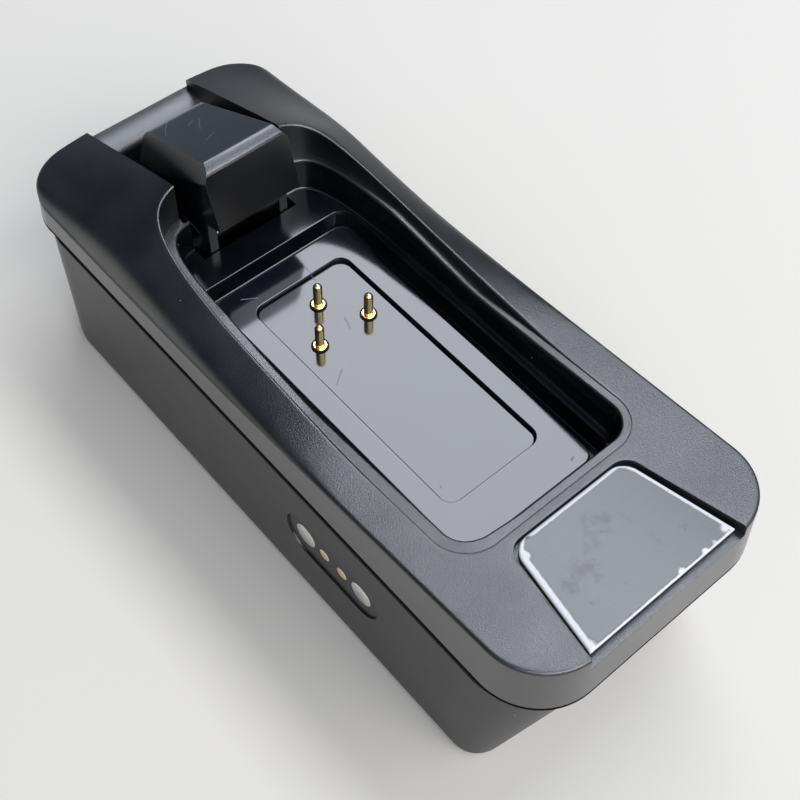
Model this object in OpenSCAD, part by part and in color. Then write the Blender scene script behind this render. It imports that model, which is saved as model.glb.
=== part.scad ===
// Desktop charger for a clip-in shifter battery: a closed base with a magnetic side port, a saddle-backed
// cover with a sunk cradle, three sprung contacts and a sprung thumb latch. Millimetres, +Z up, front at -Y.
// Origin: middle of the body's footprint, on the surface it stands on.

/* [Body] */
// width of the body at the seam
body_w = 35; // [34:0.25:38]
// length of the body at the seam
body_l = 89; // [86:0.5:96]
// height of the seam between base and cover
seam_z = 21.5; // [20:0.5:26]
// thickness of the outer walls
wall = 1.8; // [1.5:0.1:2.0]
// radius of the body's upright corners
corner_r = 8; // [7:0.25:8.5]
// how far the base's foot is set back under the front
front_rake = 5.8; // [4:0.1:7]

/* [Cover top] */
// height of the top above the seam at the front edge
top_front = 7.6; // [7:0.1:9]
// fall of the top towards the back, per mm of length
top_fall = 0.078; // [0.05:0.002:0.09]
// height of the back half's side edge above the seam
side_edge = 3.5; // [3:0.1:4]
// rise of the shoulders towards the latch, per mm of length
shoulder_rise = 0.255; // [0.2:0.005:0.28]
// fall of the shoulders behind the latch, per mm of length
shoulder_fall = 0.41; // [0.36:0.01:0.44]

/* [Cradle] */
// width of the battery cradle
cradle_w = 23.8; // [23:0.1:24.2]
// width of the raised plate in the cradle
plate_w = 19; // [18:0.1:19.6]
// height of the plate above the groove round it
plate_t = 1.4; // [1.2:0.1:1.6]
// width of the sunk contact panel
panel_w = 13.3; // [12:0.1:14]
// spacing of the two front contact pins
pin_pitch = 7.1; // [6:0.1:8]
// height of a pin tip above the sunk panel
pin_up = 3.6; // [3:0.1:4]

/* [Latch] */
// width of the latch head
latch_w = 11.4; // [10.5:0.1:12]
// height of the latch's front edge above the plate
latch_top = 15.4; // [14.5:0.1:16.5]
// fall of the thumb face towards the back, per mm of length
thumb_fall = 0.41; // [0.36:0.01:0.44]
// travel of the thumb latch in degrees
latch_travel = 10; // [6:0.5:10]

/* [Hidden] */
$fn = 64;
eps = 0.01;

// heights of the cradle's levels
foot_out = 0.4;                          // a foot's thickness below the base
plate_z = seam_z + 0.3;                  // top of the raised plate
groove_z = plate_z - plate_t;            // bottom of the groove round the plate
panel_z = plate_z - 0.6;                 // top of the sunk contact panel
shelf_z = plate_z + 1.25;                // shelf round the plate
tray_t = 1.6;                            // thickness of the cradle's floor
tray_z = groove_z - tray_t;              // underside of the cradle's floor

// stations along the length, from the front of the seam
cradle_y0 = 16.25;                       // front wall of the cradle
latch_y = body_l - 23;                   // front of the latch's opening
cradle_y1 = latch_y + 2.6;               // back wall of the cradle
shoulder_y = latch_y + 3.3;              // front faces of the shoulders
well_y = body_l - 3.4;                   // back of the well behind the latch
plate_y0 = cradle_y0 + 2.0;
plate_y1 = latch_y - 5.1;
panel_y0 = cradle_y0 + 7.35;
panel_y1 = latch_y - 8.7;
pin_y = latch_y - 12.5;                  // the single contact pin at the back
pair_y = latch_y - 17.25;                // the two contact pins in front of it
well_w = 14.7;                           // width between the shoulders
slot_w = 13.5;                           // width of the latch's opening in the floor
ledge_w = 1.02;                          // ledge between the cradle and the raised shoulders
draft = tan(6);

// Outer skin section

function smax(a, b, k) = (a + b + sqrt((a - b) * (a - b) + k * k)) / 2;
function smin(a, b, k) = (a + b - sqrt((a - b) * (a - b) + k * k)) / 2;

// top of the cover along its sides, of the raised shoulders, and of the skin as a whole
function edge_top(y) = seam_z + smax(top_front - top_fall * y, side_edge, 0.35);
function shoulder_up(y) = max(0, smin(smax(shoulder_rise * (y - 30.5), 0, 0.9) - 0.01,
    shoulder_fall * (body_l + 2.4 - y), 1.2));
function crown(x) = max(0, 1 - pow(abs(x) / (body_w / 2 - 0.35), 3));
function skin_top(x, y) = edge_top(y) + shoulder_up(y) * crown(x);
function ledge_top(y) = seam_z + smax(top_front - top_fall * y, min(6.15, 4.75 + 0.12 * (y - 43)), 0.3);

// half width of the raised shoulders' inner edge
function inner_half(y) = (cradle_w / 2 + ledge_w) * pow(1 - pow(max(0, (y - 45) / (shoulder_y - 45)), 3.5), 0.1315);

// crest of the shoulders, where the rise meets the fall
function crest_y() = (shoulder_fall * (body_l + 2.4) + shoulder_rise * 30.5) / (shoulder_rise + shoulder_fall);

// bevel along the shoulders' inner edges
function inner_bevel(x, y) = y < 40 ? 0 : max(0, well_w / 2 + 1 - abs(x));

// the cover's outer skin as one closed mesh: a grid over the outline that follows the domed top, and two
// rings round it that make the soft edge and the leaning sides down to the seam
module outer_skin() {
    corner = [0, 15, 30, 45, 60, 75];
    rise = crest_y() - 30;
    middle = concat([corner_r, 18, 26, 30], [for (k = [0.09, 0.2, 0.37, 0.54, 0.7, 0.82, 0.9, 0.95, 0.985]) 30 + k * rise],
        [for (d = [0.7, 2, 4.5]) crest_y() + d], [body_l - corner_r]);
    cols = [0.2, well_w / body_w, (well_w + 2) / body_w, 0.61, 0.72, 0.83, 0.92, 1];
    us = concat([for (i = [len(cols) - 1 : -1 : 0]) -cols[i]], cols);
    // the outline drawn in by an amount: [half width, y] at each station along the length
    function rows(in) = concat(
        [for (t = corner) [body_w / 2 - corner_r + (corner_r - in) * sin(t), corner_r - (corner_r - in) * cos(t)]],
        [for (y = middle) [body_w / 2 - in, y]],
        [for (i = [len(corner) - 1 : -1 : 0]) [body_w / 2 - corner_r + (corner_r - in) * sin(corner[i]),
            body_l - corner_r + (corner_r - in) * cos(corner[i])]]);
    inner = rows(1.15);
    lip = rows(0.72);
    foot = rows(0);
    nx = len(us);
    ny = len(inner);
    dome = [for (q = inner) for (u = us) [u * q[0], q[1], skin_top(u * q[0], q[1]) - inner_bevel(u * q[0], q[1])]];
    // the stations of the rim, walked once round the grid
    rim = concat([for (i = [0 : nx - 1]) [i, 0]], [for (j = [1 : ny - 1]) [nx - 1, j]],
        [for (i = [nx - 2 : -1 : 0]) [i, ny - 1]], [for (j = [ny - 2 : -1 : 1]) [0, j]]);
    n = len(rim);
    lips = [for (q = rim) [us[q[0]] * lip[q[1]][0], lip[q[1]][1], edge_top(lip[q[1]][1]) - 0.12]];
    feet = [for (q = rim) [us[q[0]] * foot[q[1]][0], foot[q[1]][1], seam_z]];
    rings = [[for (q = rim) q[1] * nx + q[0]], [for (i = [0 : n - 1]) nx * ny + i],
        [for (i = [0 : n - 1]) nx * ny + n + i]];
    quads = [for (j = [0 : ny - 2]) for (i = [0 : nx - 2]) j * nx + i];
    // corners of the flat underside: front and back rows, right and left chains
    function front(i) = rings[2][i];
    function right(j) = rings[2][nx - 1 + j];
    function back(i) = rings[2][2 * nx + ny - 3 - i];
    function left(j) = rings[2][2 * nx + 2 * ny - 4 - j];
    polyhedron(points = concat(dome, lips, feet), faces = concat(
        [for (q = quads) [q, q + nx + 1, q + 1]],
        [for (q = quads) [q, q + nx, q + nx + 1]],
        [for (k = [0, 1]) for (i = [0 : n - 1]) let (j = (i + 1) % n) [rings[k][i], rings[k][j], rings[k + 1][j]]],
        [for (k = [0, 1]) for (i = [0 : n - 1]) let (j = (i + 1) % n) [rings[k][i], rings[k + 1][j], rings[k + 1][i]]],
        [for (i = [0 : nx - 2]) [front(i), front(i + 1), left(1)]],
        [[front(nx - 1), right(1), left(1)], [left(ny - 2), right(ny - 2), back(nx - 1)]],
        [for (j = [1 : ny - 3]) [left(j), right(j), right(j + 1)]],
        [for (j = [1 : ny - 3]) [left(j), right(j + 1), left(j + 1)]],
        [for (i = [nx - 1 : -1 : 1]) [left(ny - 2), back(i), back(i - 1)]]));
}

// straight rounded plate between two heights
module slab(x0, x1, y0, y1, r, z0, z1) {
    translate([0, 0, z0]) linear_extrude(height = z1 - z0) {
        translate([x0 + r, y0]) square([x1 - x0 - 2 * r, y1 - y0]);
        translate([x0, y0 + r]) square([x1 - x0, y1 - y0 - 2 * r]);
        for (x = [x0 + r, x1 - r]) for (y = [y0 + r, y1 - r]) translate([x, y]) circle(r = r);
    }
}

// Cover section

// plan of the cut inside the shoulders, grown or shrunk by a margin
module cradle_plan(margin, front) {
    steps = 13;
    ys = [for (i = [0 : steps]) 45 + (shoulder_y - 45) * (1 - pow(1 - i / steps, 2.2))];
    side = [for (y = ys) [max(4, inner_half(y) + margin), y + margin * (y - 45) / (shoulder_y - 45) * 0.35]];
    polygon(concat([[cradle_w / 2 + ledge_w + margin, front]], side,
        [for (i = [steps : -1 : 0]) [-side[i][0], side[i][1]]],
        [[-cradle_w / 2 - ledge_w - margin, front]]));
}

module ledge_cut() {
    ys = [for (i = [0 : 10]) 34 + i * (shoulder_y - 32) / 10];
    intersection() {
        linear_extrude(height = 60) cradle_plan(0, 20);
        translate([-body_w / 2, 0, 0]) rotate([90, 0, 90]) linear_extrude(height = body_w)
            polygon(concat([[26, ledge_top(26) - 0.05]], [for (y = ys) [y, ledge_top(y) - 0.05]], [[shoulder_y + 2, 60], [26, 60]]));
    }
}

module cradle_cut() {
    r = 3.3;
    // open pocket down to the shelf
    translate([0, 0, shelf_z]) linear_extrude(height = 40) {
        intersection() {
            cradle_plan(-ledge_w, cradle_y0 + r);
            translate([-cradle_w, cradle_y0 + r]) square([2 * cradle_w, body_l]);
        }
        for (s = [-1, 1]) translate([s * (cradle_w / 2 - r), cradle_y0 + r]) circle(r = r);
        translate([-(cradle_w / 2 - r), cradle_y0]) square([cradle_w - 2 * r, 2 * r]);
    }
    // groove round the plate
    slab(-plate_w / 2 - 1.35, plate_w / 2 + 1.35, plate_y0 - 1.35, plate_y1 + 1.25, 1.8, groove_z, shelf_z + 1);
    // opening and well for the latch, and the low back wall between the shoulders
    translate([-slot_w / 2, latch_y, tray_z - 1]) cube([slot_w, 3.6, 20]);
    translate([-well_w / 2, shoulder_y - 0.2, tray_z - 1]) cube([well_w, well_y - shoulder_y + 0.2, 40]);
    translate([-well_w / 2, 0, 0]) rotate([90, 0, 90]) linear_extrude(height = well_w)
        polygon([[shoulder_y, seam_z + 3], [well_y - 0.5, seam_z + 3], [well_y + 0.15, seam_z + 3.5],
            [well_y + 0.5, seam_z + 3.9], [well_y + 1.1, seam_z + 4.2], [well_y + 2, seam_z + 4.3],
            [body_l + 1, seam_z + 4.2], [body_l + 1, 60], [shoulder_y, 60]]);
}

module window_plan(grow) {
    r = 2.1;
    front = 10.9 + grow;
    back = 8.35 + grow;
    y1 = 14.2 + grow;
    polygon([[-front, -1], [front, -1], [back + 0.1, y1 - r], [back - r, y1 - r], [-back + r, y1 - r],
        [-back - 0.1, y1 - r]]);
    for (s = [-1, 1]) translate([s * (back - r), y1 - r]) circle(r = r);
    translate([-back + r, 5]) square([2 * (back - r), y1 - 5]);
}

// sunk bed of the front window: a sloped pocket that runs out through the front edge
module window_cut() {
    intersection() {
        linear_extrude(height = 60) window_plan(0);
        translate([-15, 0, 0]) rotate([90, 0, 90]) linear_extrude(height = 30)
            polygon([[-2, seam_z + top_front - 1.5], [15, seam_z + top_front - 2.05], [15, 60], [-2, 60]]);
    }
}

module screw_posts(r, z0, z1, fn = 64) {
    for (sx = [-1, 1]) for (y = [10.2, body_l - 9]) translate([sx * (body_w / 2 - 4.9), y, z0])
        cylinder(h = z1 - z0, r = r, $fn = fn);
}

// the cover without its bores: skin, hollows, cradle, bearings and screw posts
module cover_shell() {
    inner_w = body_w - 2 * wall - 0.1;
    difference() {
        union() {
            difference() {
                outer_skin();
                // hollow over the whole seam, with higher chambers at the front and in the shoulders
                slab(-inner_w / 2, inner_w / 2, wall, body_l - wall, corner_r - wall, seam_z - 1, seam_z + 1.6);
                slab(-body_w / 2 + 3.2, body_w / 2 - 3.2, 3, 13.4, 3, seam_z + 0.5, seam_z + 3.9);
                for (s = [-1, 1]) translate([s * 11.6 - 2.4, shoulder_y + 4, seam_z + 0.5]) cube([4.8, 12.4, 2.5]);
            }
            // floor of the cradle and rim of the well
            translate([0, 0, tray_z]) linear_extrude(height = seam_z + 2.1 - tray_z) {
                intersection() {
                    cradle_plan(0.5, 14.7);
                    translate([-body_w, 14.7]) square([2 * body_w, latch_y - 11.2]);
                }
                translate([-well_w / 2 - 1.5, latch_y]) square([well_w + 3, well_y + 1.5 - latch_y]);
            }
            // bearings of the latch's pin
            for (s = [-1, 1]) translate([s * (slot_w / 2 + 1.1) - 1.1, 0, 0]) rotate([90, 0, 90])
                linear_extrude(height = 2.2) {
                    translate([latch_y + 7.5, plate_z - 5]) circle(r = 3);
                    translate([latch_y + 4.9, plate_z - 5]) square([5.2, 4.2]);
                }
            screw_posts(2.6, seam_z - 2.6, seam_z + 4, 32);
        }
        ledge_cut();
        cradle_cut();
        window_cut();
    }
}

module top_cover() {
    color("#17181a") difference() {
        resize([body_w, body_l, 0]) cover_shell();
        screw_posts(1, seam_z - 3, seam_z + 2.6, 32);
        // bores for the contact pins, the latch's pin and the two lights
        for (p = pins()) translate([p[0], p[1], tray_z - 1]) cylinder(h = 4, r = 0.78, $fn = 32);
        translate([-slot_w / 2 - 1.7, latch_y + 7.5, plate_z - 5]) rotate([0, 90, 0])
            cylinder(h = slot_w + 3.4, r = 1.02, $fn = 32);
        for (s = [-1, 1]) translate([s * 2.5, 8, seam_z + 2]) cylinder(h = 8, r = 1.1, $fn = 32);
    }
}

function pins() = [[0, pin_y], [-pin_pitch / 2, pair_y], [pin_pitch / 2, pair_y]];

// Cradle fittings section

module cradle_plate() {
    color("#0c0d0f") difference() {
        slab(-plate_w / 2, plate_w / 2, plate_y0, plate_y1, 1.6, groove_z, plate_z);
        slab(-panel_w / 2, panel_w / 2, panel_y0, panel_y1, 1.5, groove_z - 1, plate_z + 1);
    }
}

module contact_panel() {
    gap = 0.08;
    color("#0b0c0e") difference() {
        slab(-panel_w / 2 + gap, panel_w / 2 - gap, panel_y0 + gap, panel_y1 - gap, 1.42, groove_z, panel_z);
        for (p = pins()) translate([p[0], p[1], groove_z - 1]) cylinder(h = 3, r = 0.78, $fn = 32);
    }
}

module display_window() {
    gap = 0.3;
    color("#202226") intersection() {
        linear_extrude(height = 60) intersection() {
            window_plan(-gap);
            translate([-15, 1.15]) square([30, 20]);
        }
        translate([-15, 0, 0]) rotate([90, 0, 90]) linear_extrude(height = 30)
            polygon([[0, seam_z + top_front - 1.55], [15, seam_z + top_front - 2.03],
                [15, seam_z + top_front - 1.42], [0, seam_z + top_front - 0.6]]);
    }
}

// one contact pin's sleeve: a flanged barrel whose neck holds the plunger in
module barrel(p) {
    color("#c9a227") translate([p[0], p[1], panel_z]) rotate_extrude($fn = 32) difference() {
        union() {
            translate([0, -5]) square([0.74, 5]);
            square([0.84, 0.3]);
        }
        translate([0, -4.7]) square([0.62, 4.5]);
        translate([0, -1]) square([0.57, 2]);
    }
}

module plunger(p) {
    color("#d9b64a") translate([p[0], p[1], panel_z]) rotate_extrude($fn = 32) {
        translate([0, -2.4]) square([0.6, 2.1]);
        translate([0, -1]) square([0.54, pin_up + 1 - 0.54]);
        intersection() {
            translate([0, pin_up - 0.54]) circle(r = 0.54);
            translate([0, pin_up - 1.2]) square([0.6, 1.2]);
        }
    }
}

// closed-end coil spring of outer radius r: a wire swept along a helix whose first and last turns lie flat
module coil(r, wire, h, turns) {
    sides = 6;
    steps = 14;
    n = (turns + 2) * steps;
    pitch = (h - 6 * wire) / turns;
    function rise(t) = wire * (1 + 2.05 * min(t, 1)) + pitch * min(max(t - 1, 0), turns)
        + 2 * wire * min(max(t - 1 - turns, 0), 0.97);
    rings = [for (i = [0 : n]) for (k = [0 : sides - 1]) let (a = 360 * i / steps, b = 360 * k / sides)
        [(r - wire + wire * cos(b)) * cos(a), (r - wire + wire * cos(b)) * sin(a), rise(i / steps) + wire * sin(b)]];
    polyhedron(points = rings, faces = concat([[for (k = [0 : sides - 1]) k]],
        [[for (k = [sides - 1 : -1 : 0]) n * sides + k]],
        [for (i = [0 : n - 1]) for (k = [0 : sides - 1]) let (k2 = (k + 1) % sides)
            [i * sides + k, (i + 1) * sides + k, (i + 1) * sides + k2]],
        [for (i = [0 : n - 1]) for (k = [0 : sides - 1]) let (k2 = (k + 1) % sides)
            [i * sides + k, (i + 1) * sides + k2, i * sides + k2]]));
}

module pin_spring(p) {
    color("#b8bcc2") translate([p[0], p[1], panel_z - 4.7]) coil(0.55, 0.07, 2.3, 4);
}

module pin_seal(p) {
    color("#08090a") translate([p[0], p[1], panel_z]) difference() {
        cylinder(h = 0.2, r = 1.02, $fn = 32);
        translate([0, 0, -1]) cylinder(h = 3, r = 0.86, $fn = 32);
    }
}

// Latch section

// side view of the latch: the overhanging front, the sloped thumb face and the legs down to the pin
function latch_side() = let (y = latch_y, z = plate_z, t = latch_top) [
    [y - 2.5, z + 7.1], [y - 0.75, z + t - 1.75], [y - 0.62, z + t - 1.0], [y - 0.3, z + t - 0.45],
    [y + 0.2, z + t - 0.2], [y + 0.9, z + t - 0.4], [y + 13.2, z + t - 0.4 - thumb_fall * 12.3],
    [y + 14.1, z + t - 6.0], [y + 14.55, z + t - 6.9], [y + 14.6, z + t - 7.8],
    [y + 14.1, z + 2], [y + 13.4, z - 6.4], [y + 9.5, z - 7.6], [y + 5.5, z - 7.4], [y + 4, z - 5.2],
    [y + 0.15, z - 3.4], [y + 0.15, z + 6.3]];

module latch() {
    half = latch_w / 2;
    color("#141517") difference() {
        union() {
            intersection() {
                translate([-half, 0, 0]) rotate([90, 0, 90]) linear_extrude(height = latch_w)
                    polygon(latch_side());
                // the head narrows to the thumb face
                translate([0, latch_y - 5, 0]) rotate([-90, 0, 0]) linear_extrude(height = 30)
                    polygon([for (q = [[-half, 0], [half, 0], [half, 60], [-half, 60]]) [q[0], -q[1]]]);
            }
            // tail that rests on the spring
            translate([-3, latch_y + 12, plate_z - 6.4]) cube([6, 5.4, 2]);
        }
        for (s = [-1, 1]) thumb_chamfer(s);
        // hollow between the two legs
        translate([-4.4, latch_y - 3, plate_z - 8]) cube([8.8, 14.6, 8 + 5.6]);
        translate([-half - 1, latch_y + 7.5, plate_z - 5]) rotate([0, 90, 0])
            cylinder(h = latch_w + 2, r = 1.05, $fn = 32);
    }
}

// sloping side facet beside the thumb face
module thumb_chamfer(s) {
    half = latch_w / 2;
    fall = atan(thumb_fall);
    translate([0, latch_y + 0.9, plate_z + latch_top - 0.4]) rotate([-fall, 0, 0])
        translate([0, 30, 0]) rotate([90, 0, 0]) linear_extrude(height = 60)
            polygon([[s * (half - 1.35), 0.01], [s * (half + 0.6), 4], [s * (half + 4), 0],
                [s * (half + 0.25), -2.75]]);
}

module latch_pin() {
    color("#b4b8bd") translate([-slot_w / 2 - 1.6, latch_y + 7.5, plate_z - 5]) rotate([0, 90, 0])
        cylinder(h = slot_w + 3.2, r = 1, $fn = 32);
}

module latch_spring() {
    color("#aeb3b9") translate([0, latch_y + 15.2, plate_z - 6.4 - 7.4]) coil(2, 0.22, 7.4, 5);
}

// Base section

// the base's outline, drawn in by an amount, at a list of [height, inset]: the front corners tighten and
// draw back towards the foot
module base_body(levels) {
    rise = seam_z - 0.65 - foot_out;
    hull() for (q = levels) for (sx = [-1, 1]) {
        low = 1 - (q[0] - foot_out) / rise;
        half = body_w / 2 - 0.2 - q[1];
        fr = max(0.8, corner_r - (corner_r - 3.2) * low - q[1]);
        br = corner_r - q[1];
        translate([sx * (half - fr), 0.7 + q[1] + front_rake * low + fr, q[0]]) cylinder(h = eps, r = fr, $fn = 40);
        translate([sx * (half - br), body_l - 0.25 - q[1] - br, q[0]]) cylinder(h = eps, r = br, $fn = 40);
    }
}

// the base's hollow: straight side walls, cut off along the rake at the front
module base_room(z0, z1) {
    rise = seam_z - 0.65 - foot_out;
    front = 0.7 + wall;
    intersection() {
        slab(-body_w / 2 + 0.2 + wall, body_w / 2 - 0.2 - wall, front, body_l - 0.25 - wall, corner_r, z0, z1);
        rotate([90, 0, 90]) translate([0, 0, -body_w]) linear_extrude(height = 2 * body_w)
            polygon([[front - front_rake * 2 / rise, foot_out + rise + 2], [body_l, foot_out + rise + 2],
                [body_l, foot_out - 1], [front + front_rake * (rise + 1) / rise, foot_out - 1]]);
    }
}

// the base without its bores: tray, rim, posts and the frame of the side port
module base_tub() {
    ledge = seam_z - 0.65;
    floor_z = foot_out + wall;
    spring_y = latch_y + 15.2;
    difference() {
        union() {
            difference() {
                base_body([[foot_out, 0.8], [foot_out + 0.25, 0.35], [foot_out + 0.8, 0], [ledge, 0]]);
                base_room(floor_z, ledge + 1);
            }
            // shoulder that carries the cover, and the tongue inside its rim
            difference() {
                union() {
                    rim_ring(0.9, ledge - 1.6, seam_z);
                    rim_ring(2, ledge - 1.6, seam_z + 1.1);
                }
                rim_ring(3.1, ledge - 3, seam_z + 4);
            }
            screw_posts(3, floor_z - 0.5, seam_z - 2.6, 32);
            // board posts and the seat of the latch's spring
            for (p = board_posts()) translate([p[0], p[1], floor_z - 0.5])
                cylinder(h = board_z() - floor_z + 0.5, r = 1.9, $fn = 32);
            translate([0, spring_y, floor_z - 0.5]) cylinder(h = plate_z - 13.8 - floor_z + 0.5, r = 3, $fn = 32);
            translate([0, spring_y, floor_z]) cylinder(h = plate_z - 12.2 - floor_z, r = 1.2, $fn = 32);
            port_block();
        }
        // room for the cover's screw posts and for the back of the latch's well
        screw_posts(2.75, seam_z - 2.6, seam_z + 4, 32);
        translate([-9.1, body_l - 4, tray_z - 0.2]) cube([18.2, 2.3, 10]);
        screw_posts(3.1, foot_out - 1, foot_out + 0.9, 48);
        port_pocket();
    }
}

module base_shell() {
    color("#1b1c1e") resize([body_w - 0.4, 0, 0]) difference() {
        base_tub();
        screw_posts(1.2, foot_out, seam_z, 24);
        screw_posts(2.3, foot_out, 12.9, 24);
        for (p = board_posts()) translate([p[0], p[1], board_z() - 5]) cylinder(h = 6, r = 0.77, $fn = 24);
    }
}

module rim_ring(inset, z0, z1) {
    slab(-body_w / 2 + inset, body_w / 2 - inset, inset + 0.2, body_l - inset, corner_r - inset, z0, z1);
}

function board_z() = 9.2;
function board_posts() = [for (x = [-10.5, 10.5]) for (y = [18, body_l - 25]) [x, y]];

// Magnetic port section

port_y = 30.3;
port_z = 12.1;
port_l = 15.4;
port_h = 6.6;
port_x = -body_w / 2 + 0.2;              // the base's left wall

module oblong(l, h, x0, x1) {
    translate([x0, port_y, port_z]) rotate([90, 0, 90]) linear_extrude(height = x1 - x0) {
        for (s = [-1, 1]) translate([s * (l - h) / 2, 0]) circle(r = h / 2);
        translate([-(l - h) / 2, -h / 2]) square([l - h, h]);
    }
}

module port_block() {
    oblong(port_l + 3, port_h + 3, port_x + 0.9, port_x + 3.4);
}

module port_pocket() {
    oblong(port_l, port_h, port_x - 1, port_x + 2.2);
    oblong(port_l - 1.6, port_h - 1.6, port_x - 1, port_x + 5);
}

module port_insert() {
    color("#101113") difference() {
        union() {
            oblong(port_l - 0.16, port_h - 0.16, port_x + 0.5, port_x + 2.2);
            oblong(port_l - 1.8, port_h - 1.8, port_x + 2, port_x + 3.8);
        }
        for (s = [-1, 1]) {
            translate([port_x, port_y + s * 4.7, port_z]) rotate([0, 90, 0]) cylinder(h = 3, r = 1.65);
            translate([port_x, port_y + s * 1.47, port_z]) rotate([0, 90, 0])
                cylinder(h = 6, r = 0.94, $fn = 32);
        }
    }
}

module port_magnet(s) {
    color("#cfd0cc") translate([port_x + 0.46, port_y + s * 4.7, port_z]) rotate([0, 90, 0])
        cylinder(h = 2.54, r = 1.62);
}

module port_contact(s) {
    color("#d8c06a") translate([port_x + 0.44, port_y + s * 1.47, port_z]) rotate([0, 90, 0])
        cylinder(h = 3.36, r = 0.91, $fn = 32);
}

module port_board() {
    color("#0e4d33") oblong(port_l - 2.4, 4.4, port_x + 3.8, port_x + 4.8);
}

// Boards and fixings section

module main_board() {
    color("#0f5238") difference() {
        slab(-12.3, 12.3, 15.5, body_l - 22.5, 1, board_z(), board_z() + 1.2);
        for (p = board_posts()) translate([p[0], p[1], board_z() - 1]) cylinder(h = 4, r = 0.85, $fn = 32);
    }
}

module charge_chip() {
    color("#1a1a1c") translate([1, 26, board_z() + 1.2]) cube([6, 6, 1]);
}

module power_coil() {
    color("#3a3c40") translate([5, 38, board_z() + 1.2]) cylinder(h = 3.2, r = 3.4);
}

module board_capacitors() {
    color("#b08d57") for (p = [[-8, 30], [-8, 34], [-8, 38], [6, 52]])
        translate([p[0], p[1], board_z() + 1.2]) cube([2, 1.3, 1.1]);
}

module contact_board() {
    color("#125a3e") difference() {
        slab(-6, 6, pair_y - 5, pin_y + 4, 1, tray_z - 1.2, tray_z);
        for (p = pins()) translate([p[0], p[1], tray_z - 2]) cylinder(h = 4, r = 0.78, $fn = 32);
    }
}

module link_header() {
    y = pair_y - 3;
    color("#1a1b1d") difference() {
        translate([-4, y - 1.3, board_z() + 1.2]) cube([8, 2.6, 6]);
        for (x = [-2.5, 0, 2.5]) translate([x, y, board_z()]) cylinder(h = 9, r = 0.36, $fn = 24);
    }
}

module link_pins() {
    y = pair_y - 3;
    color("#cdb04b") for (x = [-2.5, 0, 2.5]) translate([x, y, board_z() + 1.2])
        cylinder(h = tray_z - 1.2 - board_z() - 1.2, r = 0.34, $fn = 24);
}

module indicator_board() {
    color("#0f5238") slab(-6, 6, 4.6, 11.4, 1, seam_z + 2.3, seam_z + 3.3);
}

module indicator_leds() {
    color("#e8e6d8") for (s = [-1, 1]) translate([s * 2.5, 8, seam_z + 3.3]) cylinder(h = 1.5, r = 0.8, $fn = 32);
}

module cover_screws() {
    color("#9a9da1") for (sx = [-1, 1]) for (y = [10.2, body_l - 9])
        translate([sx * (body_w / 2 - 4.9), y, 0]) {
            translate([0, 0, 11.4]) cylinder(h = 1.5, r = 2);
            translate([0, 0, 12]) cylinder(h = seam_z + 2.4 - 12, r = 0.98, $fn = 32);
        }
}

module board_screws() {
    color("#9a9da1") for (p = board_posts()) translate([p[0], p[1], board_z() + 1.2]) {
        cylinder(h = 0.9, r = 1.5, $fn = 32);
        translate([0, 0, -5.4]) cylinder(h = 5.6, r = 0.72, $fn = 32);
    }
}

module foot(sx, y) {
    color("#0a0a0b") translate([sx * (body_w / 2 - 4.9), y, 0]) cylinder(h = foot_out + 0.9, r = 3);
}

// The part section

module placed() { translate([0, -body_l / 2, 0]) children(); }

placed() base_shell();
placed() top_cover();
placed() cradle_plate();
placed() contact_panel();
placed() display_window();
placed() latch();
placed() latch_pin();
placed() latch_spring();
placed() barrel(pins()[0]);  // barrel_back
placed() barrel(pins()[1]);  // barrel_left
placed() barrel(pins()[2]);  // barrel_right
placed() plunger(pins()[0]);  // plunger_back
placed() plunger(pins()[1]);  // plunger_left
placed() plunger(pins()[2]);  // plunger_right
placed() pin_spring(pins()[0]);  // pin_spring_back
placed() pin_spring(pins()[1]);  // pin_spring_left
placed() pin_spring(pins()[2]);  // pin_spring_right
placed() pin_seal(pins()[0]);  // pin_seal_back
placed() pin_seal(pins()[1]);  // pin_seal_left
placed() pin_seal(pins()[2]);  // pin_seal_right
placed() port_insert();
placed() port_magnet(-1);  // port_magnet_front
placed() port_magnet(1);  // port_magnet_back
placed() port_contact(-1);  // port_contact_front
placed() port_contact(1);  // port_contact_back
placed() port_board();
placed() main_board();
placed() charge_chip();
placed() power_coil();
placed() board_capacitors();
placed() contact_board();
placed() link_header();
placed() link_pins();
placed() indicator_board();
placed() indicator_leds();
placed() cover_screws();
placed() board_screws();
placed() foot(-1, 10.2);  // foot_front_left
placed() foot(1, 10.2);  // foot_front_right
placed() foot(-1, body_l - 9);  // foot_back_left
placed() foot(1, body_l - 9);  // foot_back_right
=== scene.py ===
"""Looks of a desktop charger for a clip-in shifter battery.

Sizes inside the classes are millimetres in the part's own frame: x to the right, y towards the latch and
measured from the front of the seam, z up from the table. Meshes are written in metres, with y from the body's
middle.
"""

import logging
import math
from dataclasses import dataclass
from enum import Enum
from typing import Callable, Sequence

import bmesh
import bpy
import numpy as np
from mathutils import Matrix, Vector


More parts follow.
